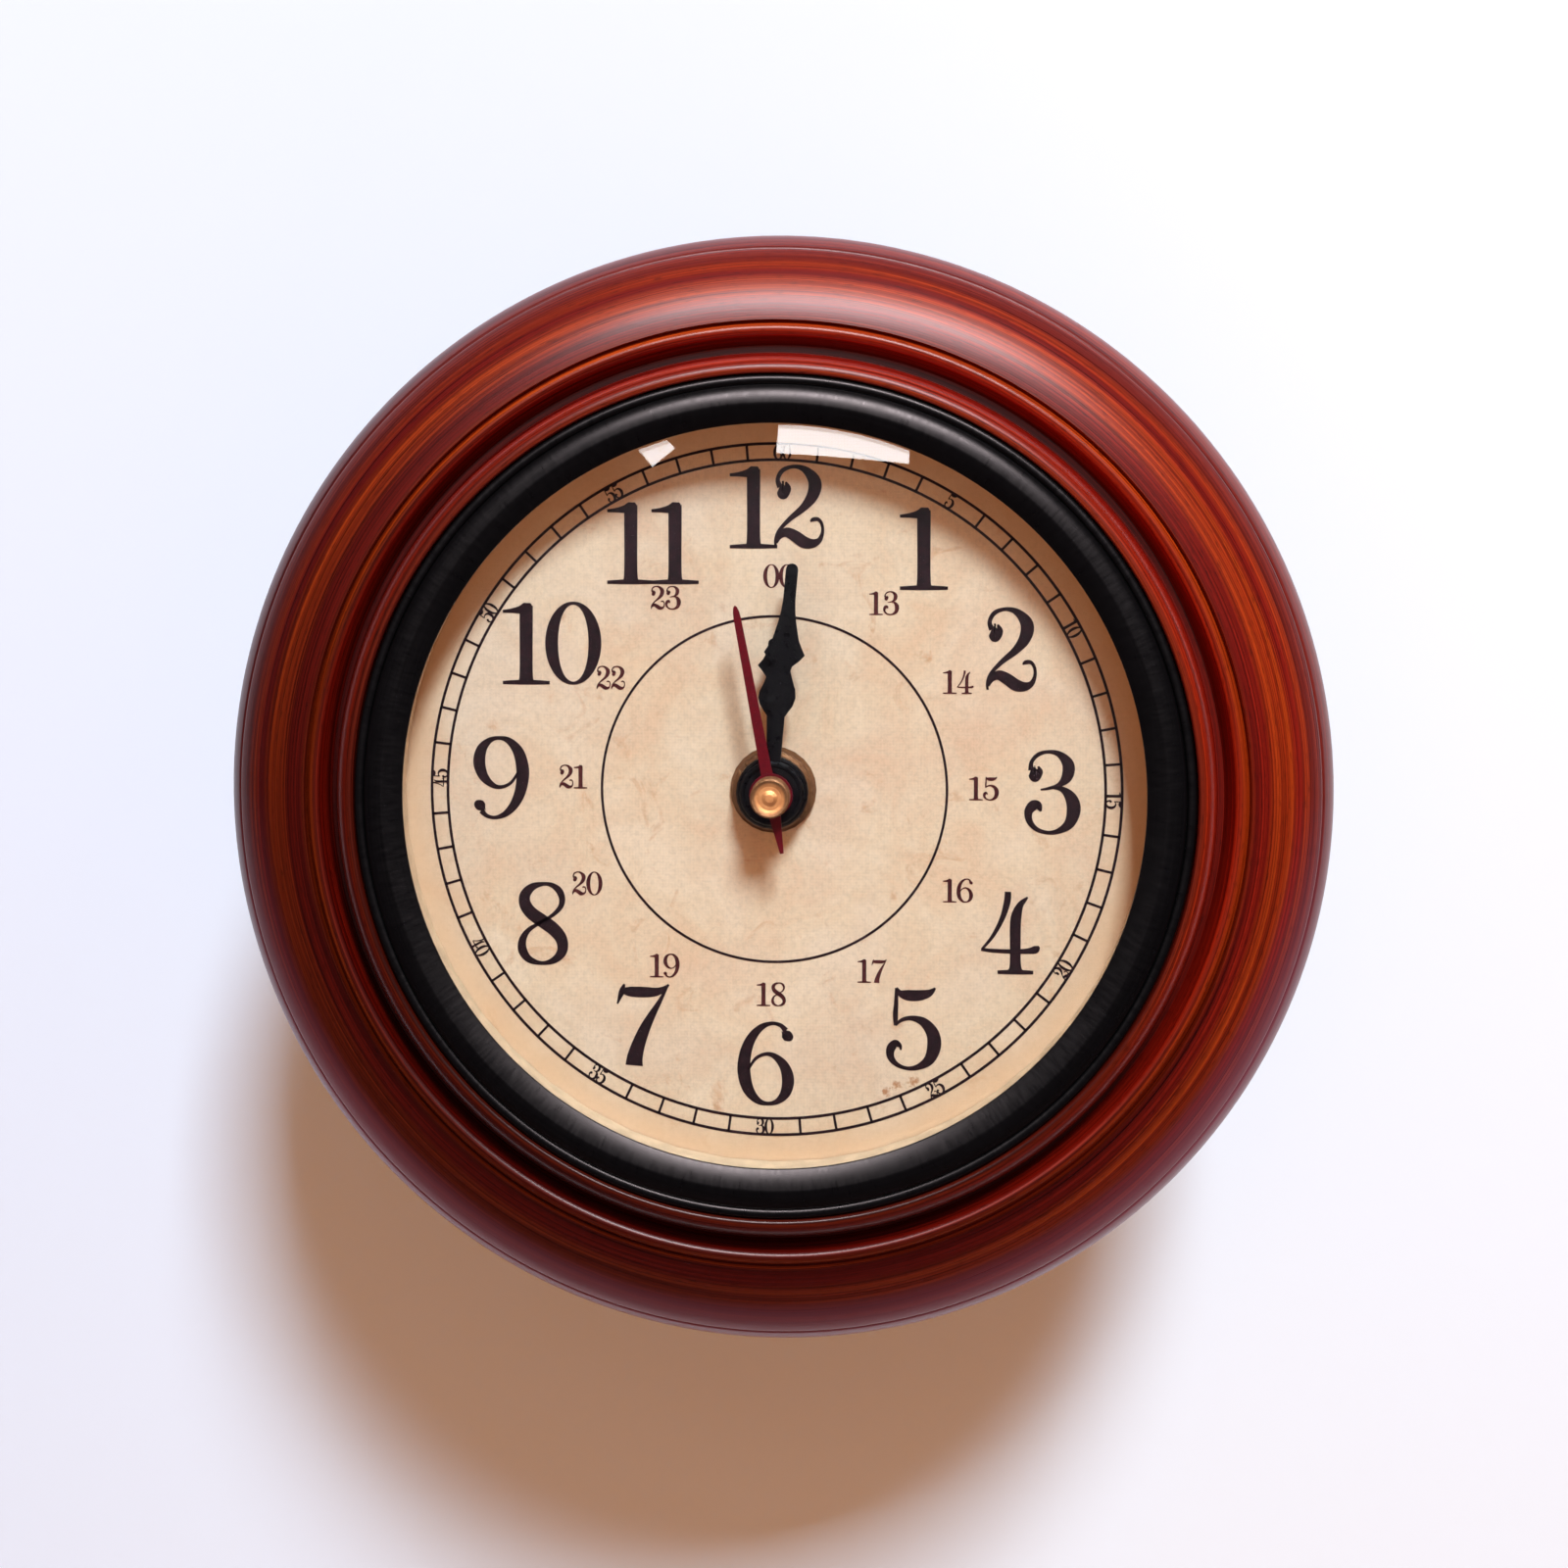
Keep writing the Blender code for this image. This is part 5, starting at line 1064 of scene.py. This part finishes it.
# The wall's tone at its lower left, and the paler painted light towards the lower right
WALL_COLOUR = linear(234, 240, 255)
WALL_PAINTED_LIGHT = linear(246, 248, 255)
WALL_SLANT = -0.35
WALL_BLEND = 0.30
KEY_PLACE = (0.67, -2.10, 2.54)
KEY_SIZE = 0.75
KEY_POWER = 168.0
KEY_COLOUR = (0.70, 0.88, 1.0)
# Name, place, size, power and roll in degrees of each light that only reflections show: two for the glass
# and an upper one for the varnish.
WINDOWS = [
    ("window_light", (0.124, -1.60, 0.885), (0.42, 0.15), 2.8, -5.5),
    ("upper_window_light", (0.10, -1.512, 1.031), (1.15, 0.24), 31.0, 0.0),
    ("side_window_light", (-0.48, -1.60, 0.855), (0.092, 0.092), 0.33, 45.0),
]
WORLD_COLOUR = (1.0, 0.43, 0.13)
WORLD_STRENGTH = 0.43
REFLECTED_COLOUR = (0.035, 0.025, 0.035)
BACKGROUND_COLOUR = (0.90, 0.90, 0.93)
CAMERA_PLACE = (0.0187, -0.3394, 0.0435)
CAMERA_PITCH = -0.08
CAMERA_YAW = 3.04
CAMERA_LENS = 40.70
CAMERA_SHIFT = (0.0, -0.15)


def wall_material():
    """Plain pale paint, seen from its front only. Painted light makes it paler towards the lower right; it
    turns into the background's tone far from the clock, and is dim in reflections far below it."""
    finish = Finish("pale_wall", WALL_COLOUR, 0.8)
    place = finish.place()
    axes = split(finish, place)
    speckle = finish.noise(place, 0.3, 3.0)
    finish.roughness(finish.ramp(speckle, [(0.3, 0.75), (0.7, 0.85)]))
    path = finish.node("ShaderNodeLightPath")
    low = finish.math("LESS_THAN", axes["Z"], -FLOOR_START / MM)
    dimmed = finish.math("MULTIPLY", low, path.outputs["Is Glossy Ray"])
    # Painted light: the paint grows paler along a slant towards the lower right
    slant = finish.math("ADD", axes["X"], finish.math("MULTIPLY", axes["Z"], WALL_SLANT))
    share = finish.math("ADD", finish.math("MULTIPLY", slant, MM / WALL_BLEND), 0.5)
    paint = finish.ramp(share, [(0.0, WALL_COLOUR), (1.0, WALL_PAINTED_LIGHT)])
    finish.colour(finish.mix(dimmed, paint, FLOOR_REFLECTED))
    distance = finish.math("MULTIPLY", finish.length(place), MM / FADE_END)
    far = finish.ramp(distance, [(FADE_START / FADE_END, 0.0), (1.0, 1.0)])
    fading = finish.math("MULTIPLY", far, path.outputs["Is Camera Ray"])
    pale = plain_shader(finish.tree, "ShaderNodeEmission", BACKGROUND_COLOUR)
    front = blend_shaders(finish.tree, fading, finish.shader.outputs[0], pale)
    clear = plain_shader(finish.tree, "ShaderNodeBsdfTransparent")
    behind = finish.node("ShaderNodeNewGeometry").outputs["Backfacing"]
    finish.surface(blend_shaders(finish.tree, behind, front, clear))
    return finish.material


def make_stage():
    """The wall behind the clock, swept forward into a floor well below it."""
    sweep = (WALL_DISTANCE - SWEEP_RADIUS, SWEEP_RADIUS - FLOOR_DROP)
    profile = [(WALL_DISTANCE, WALL_TOP)]
    profile += arc(sweep, (SWEEP_RADIUS, SWEEP_RADIUS), 0, -90, SWEEP_STEPS)
    profile += [(-FLOOR_REACH, -FLOOR_DROP)]
    mesh = bpy.data.meshes.new("wall_and_floor")
    shape = bmesh.new()
    sides = [[shape.verts.new((x, y, z)) for y, z in profile] for x in (-WALL_WIDTH / 2, WALL_WIDTH / 2)]
    for i in range(len(profile) - 1):
        shape.faces.new((sides[0][i], sides[0][i + 1], sides[1][i + 1], sides[1][i]))
    shape.to_mesh(mesh)
    shape.free()
    mesh.shade_smooth()
    mesh.materials.append(wall_material())
    wall = bpy.data.objects.new("wall_and_floor", mesh)
    bpy.context.scene.collection.objects.link(wall)


def area_light(name, place, size, power, colour=(1.0, 1.0, 1.0), roll=0.0):
    """A rectangular light aimed at the clock, turned about its own axis by the roll."""
    lamp = bpy.data.lights.new(name, "AREA")
    lamp.shape = "RECTANGLE"
    lamp.size, lamp.size_y = size
    lamp.energy = power
    lamp.color = colour
    thing = bpy.data.objects.new(name, lamp)
    thing.location = place
    facing = (-Vector(place)).to_track_quat("-Z", "Y").to_matrix()
    thing.rotation_euler = (facing @ Matrix.Rotation(roll, 3, "Z")).to_euler()
    bpy.context.scene.collection.objects.link(thing)
    return thing


def make_world():
    """Warm light on the surfaces, a dim room in reflections and a pale background to the camera."""
    world = bpy.data.worlds.new("room")
    world.use_nodes = True
    tree = world.node_tree
    path = tree.nodes.new("ShaderNodeLightPath").outputs
    warm = plain_shader(tree, "ShaderNodeBackground", WORLD_COLOUR, WORLD_STRENGTH)
    pale = plain_shader(tree, "ShaderNodeBackground", BACKGROUND_COLOUR)
    dim = plain_shader(tree, "ShaderNodeBackground", REFLECTED_COLOUR)
    mirrored = tree.nodes.new("ShaderNodeMath")
    mirrored.operation = "MAXIMUM"
    tree.links.new(path["Is Glossy Ray"], mirrored.inputs[0])
    tree.links.new(path["Is Transmission Ray"], mirrored.inputs[1])
    seen = blend_shaders(tree, path["Is Camera Ray"], warm, pale)
    room = blend_shaders(tree, mirrored.outputs[0], seen, dim)
    tree.links.new(room, tree.nodes["World Output"].inputs["Surface"])
    bpy.context.scene.world = world


def make_light():
    """A soft key for the surfaces and their shadows, and the windows that the gloss and the glass reflect."""
    key = area_light("key_light", KEY_PLACE, (KEY_SIZE, KEY_SIZE), KEY_POWER, KEY_COLOUR)
    key.visible_glossy = False
    for name, place, size, power, roll in WINDOWS:
        window = area_light(name, place, size, power, roll=math.radians(roll))
        window.visible_diffuse = False


def make_camera():
    data = bpy.data.cameras.new("camera")
    data.lens = CAMERA_LENS
    data.shift_x, data.shift_y = CAMERA_SHIFT
    camera = bpy.data.objects.new("camera", data)
    camera.location = CAMERA_PLACE
    camera.rotation_euler = (math.radians(90 + CAMERA_PITCH), 0.0, math.radians(CAMERA_YAW))
    bpy.context.scene.collection.objects.link(camera)
    bpy.context.scene.camera = camera
    bpy.context.scene.view_settings.view_transform = "Standard"


def dress_nodes():
    """Gives every node that is still shown its finish, by the record's material slots."""
    slots = {part["node"]: part["material_slot"] for part in frame["record"]["subparts"]}
    finishes = {
        "cream_card": plastic("cream_card", linear(216, 190, 158), 0.6, 3.0, 0.05),
        "parchment_print": parchment(),
        "hardboard": hardboard(),
        "brass": metal("brass", linear(206, 140, 86), linear(180, 114, 66), 0.46, share=0.55),
        "black_painted_metal": painted("black_painted_metal", linear(4, 4, 5), linear(10, 9, 10), 0.26),
        "red_painted_metal": painted("red_painted_metal", linear(100, 4, 20), linear(84, 3, 16), 0.30),
        "black_plastic": plastic("black_plastic", linear(30, 30, 32), 0.45),
        "white_plastic": plastic("white_plastic", linear(226, 224, 216), 0.4, 4.0, 0.05),
        "black_rubber": plastic("black_rubber", linear(36, 35, 35), 0.8),
        "steel": metal("steel", linear(196, 196, 198), linear(150, 148, 144), 0.28, False),
        "copper_wire": winding(),
        "circuit_board": plastic("circuit_board", linear(28, 98, 58), 0.35, 3.0, 0.05),
        "battery_jacket": battery_jacket(),
    }
    for name, thing in frame["nodes"].items():
        finish = finishes.get(slots[name])
        if finish:
            thing.data.materials.clear()
            thing.data.materials.append(finish)


make_camera()
make_case(stained_wood())
make_ring(black_lacquer())
make_glass(clear_glass())
dress_nodes()
black_ink = ink("black_ink", linear(20, 8, 11), linear(38, 18, 22))
brown_ink = ink("brown_ink", linear(58, 20, 24), linear(88, 42, 41))
make_hour_numerals(black_ink)
make_small_numerals(brown_ink)
make_minute_track(black_ink)
make_centre_ring(black_ink)
make_stage()
make_light()
make_world()
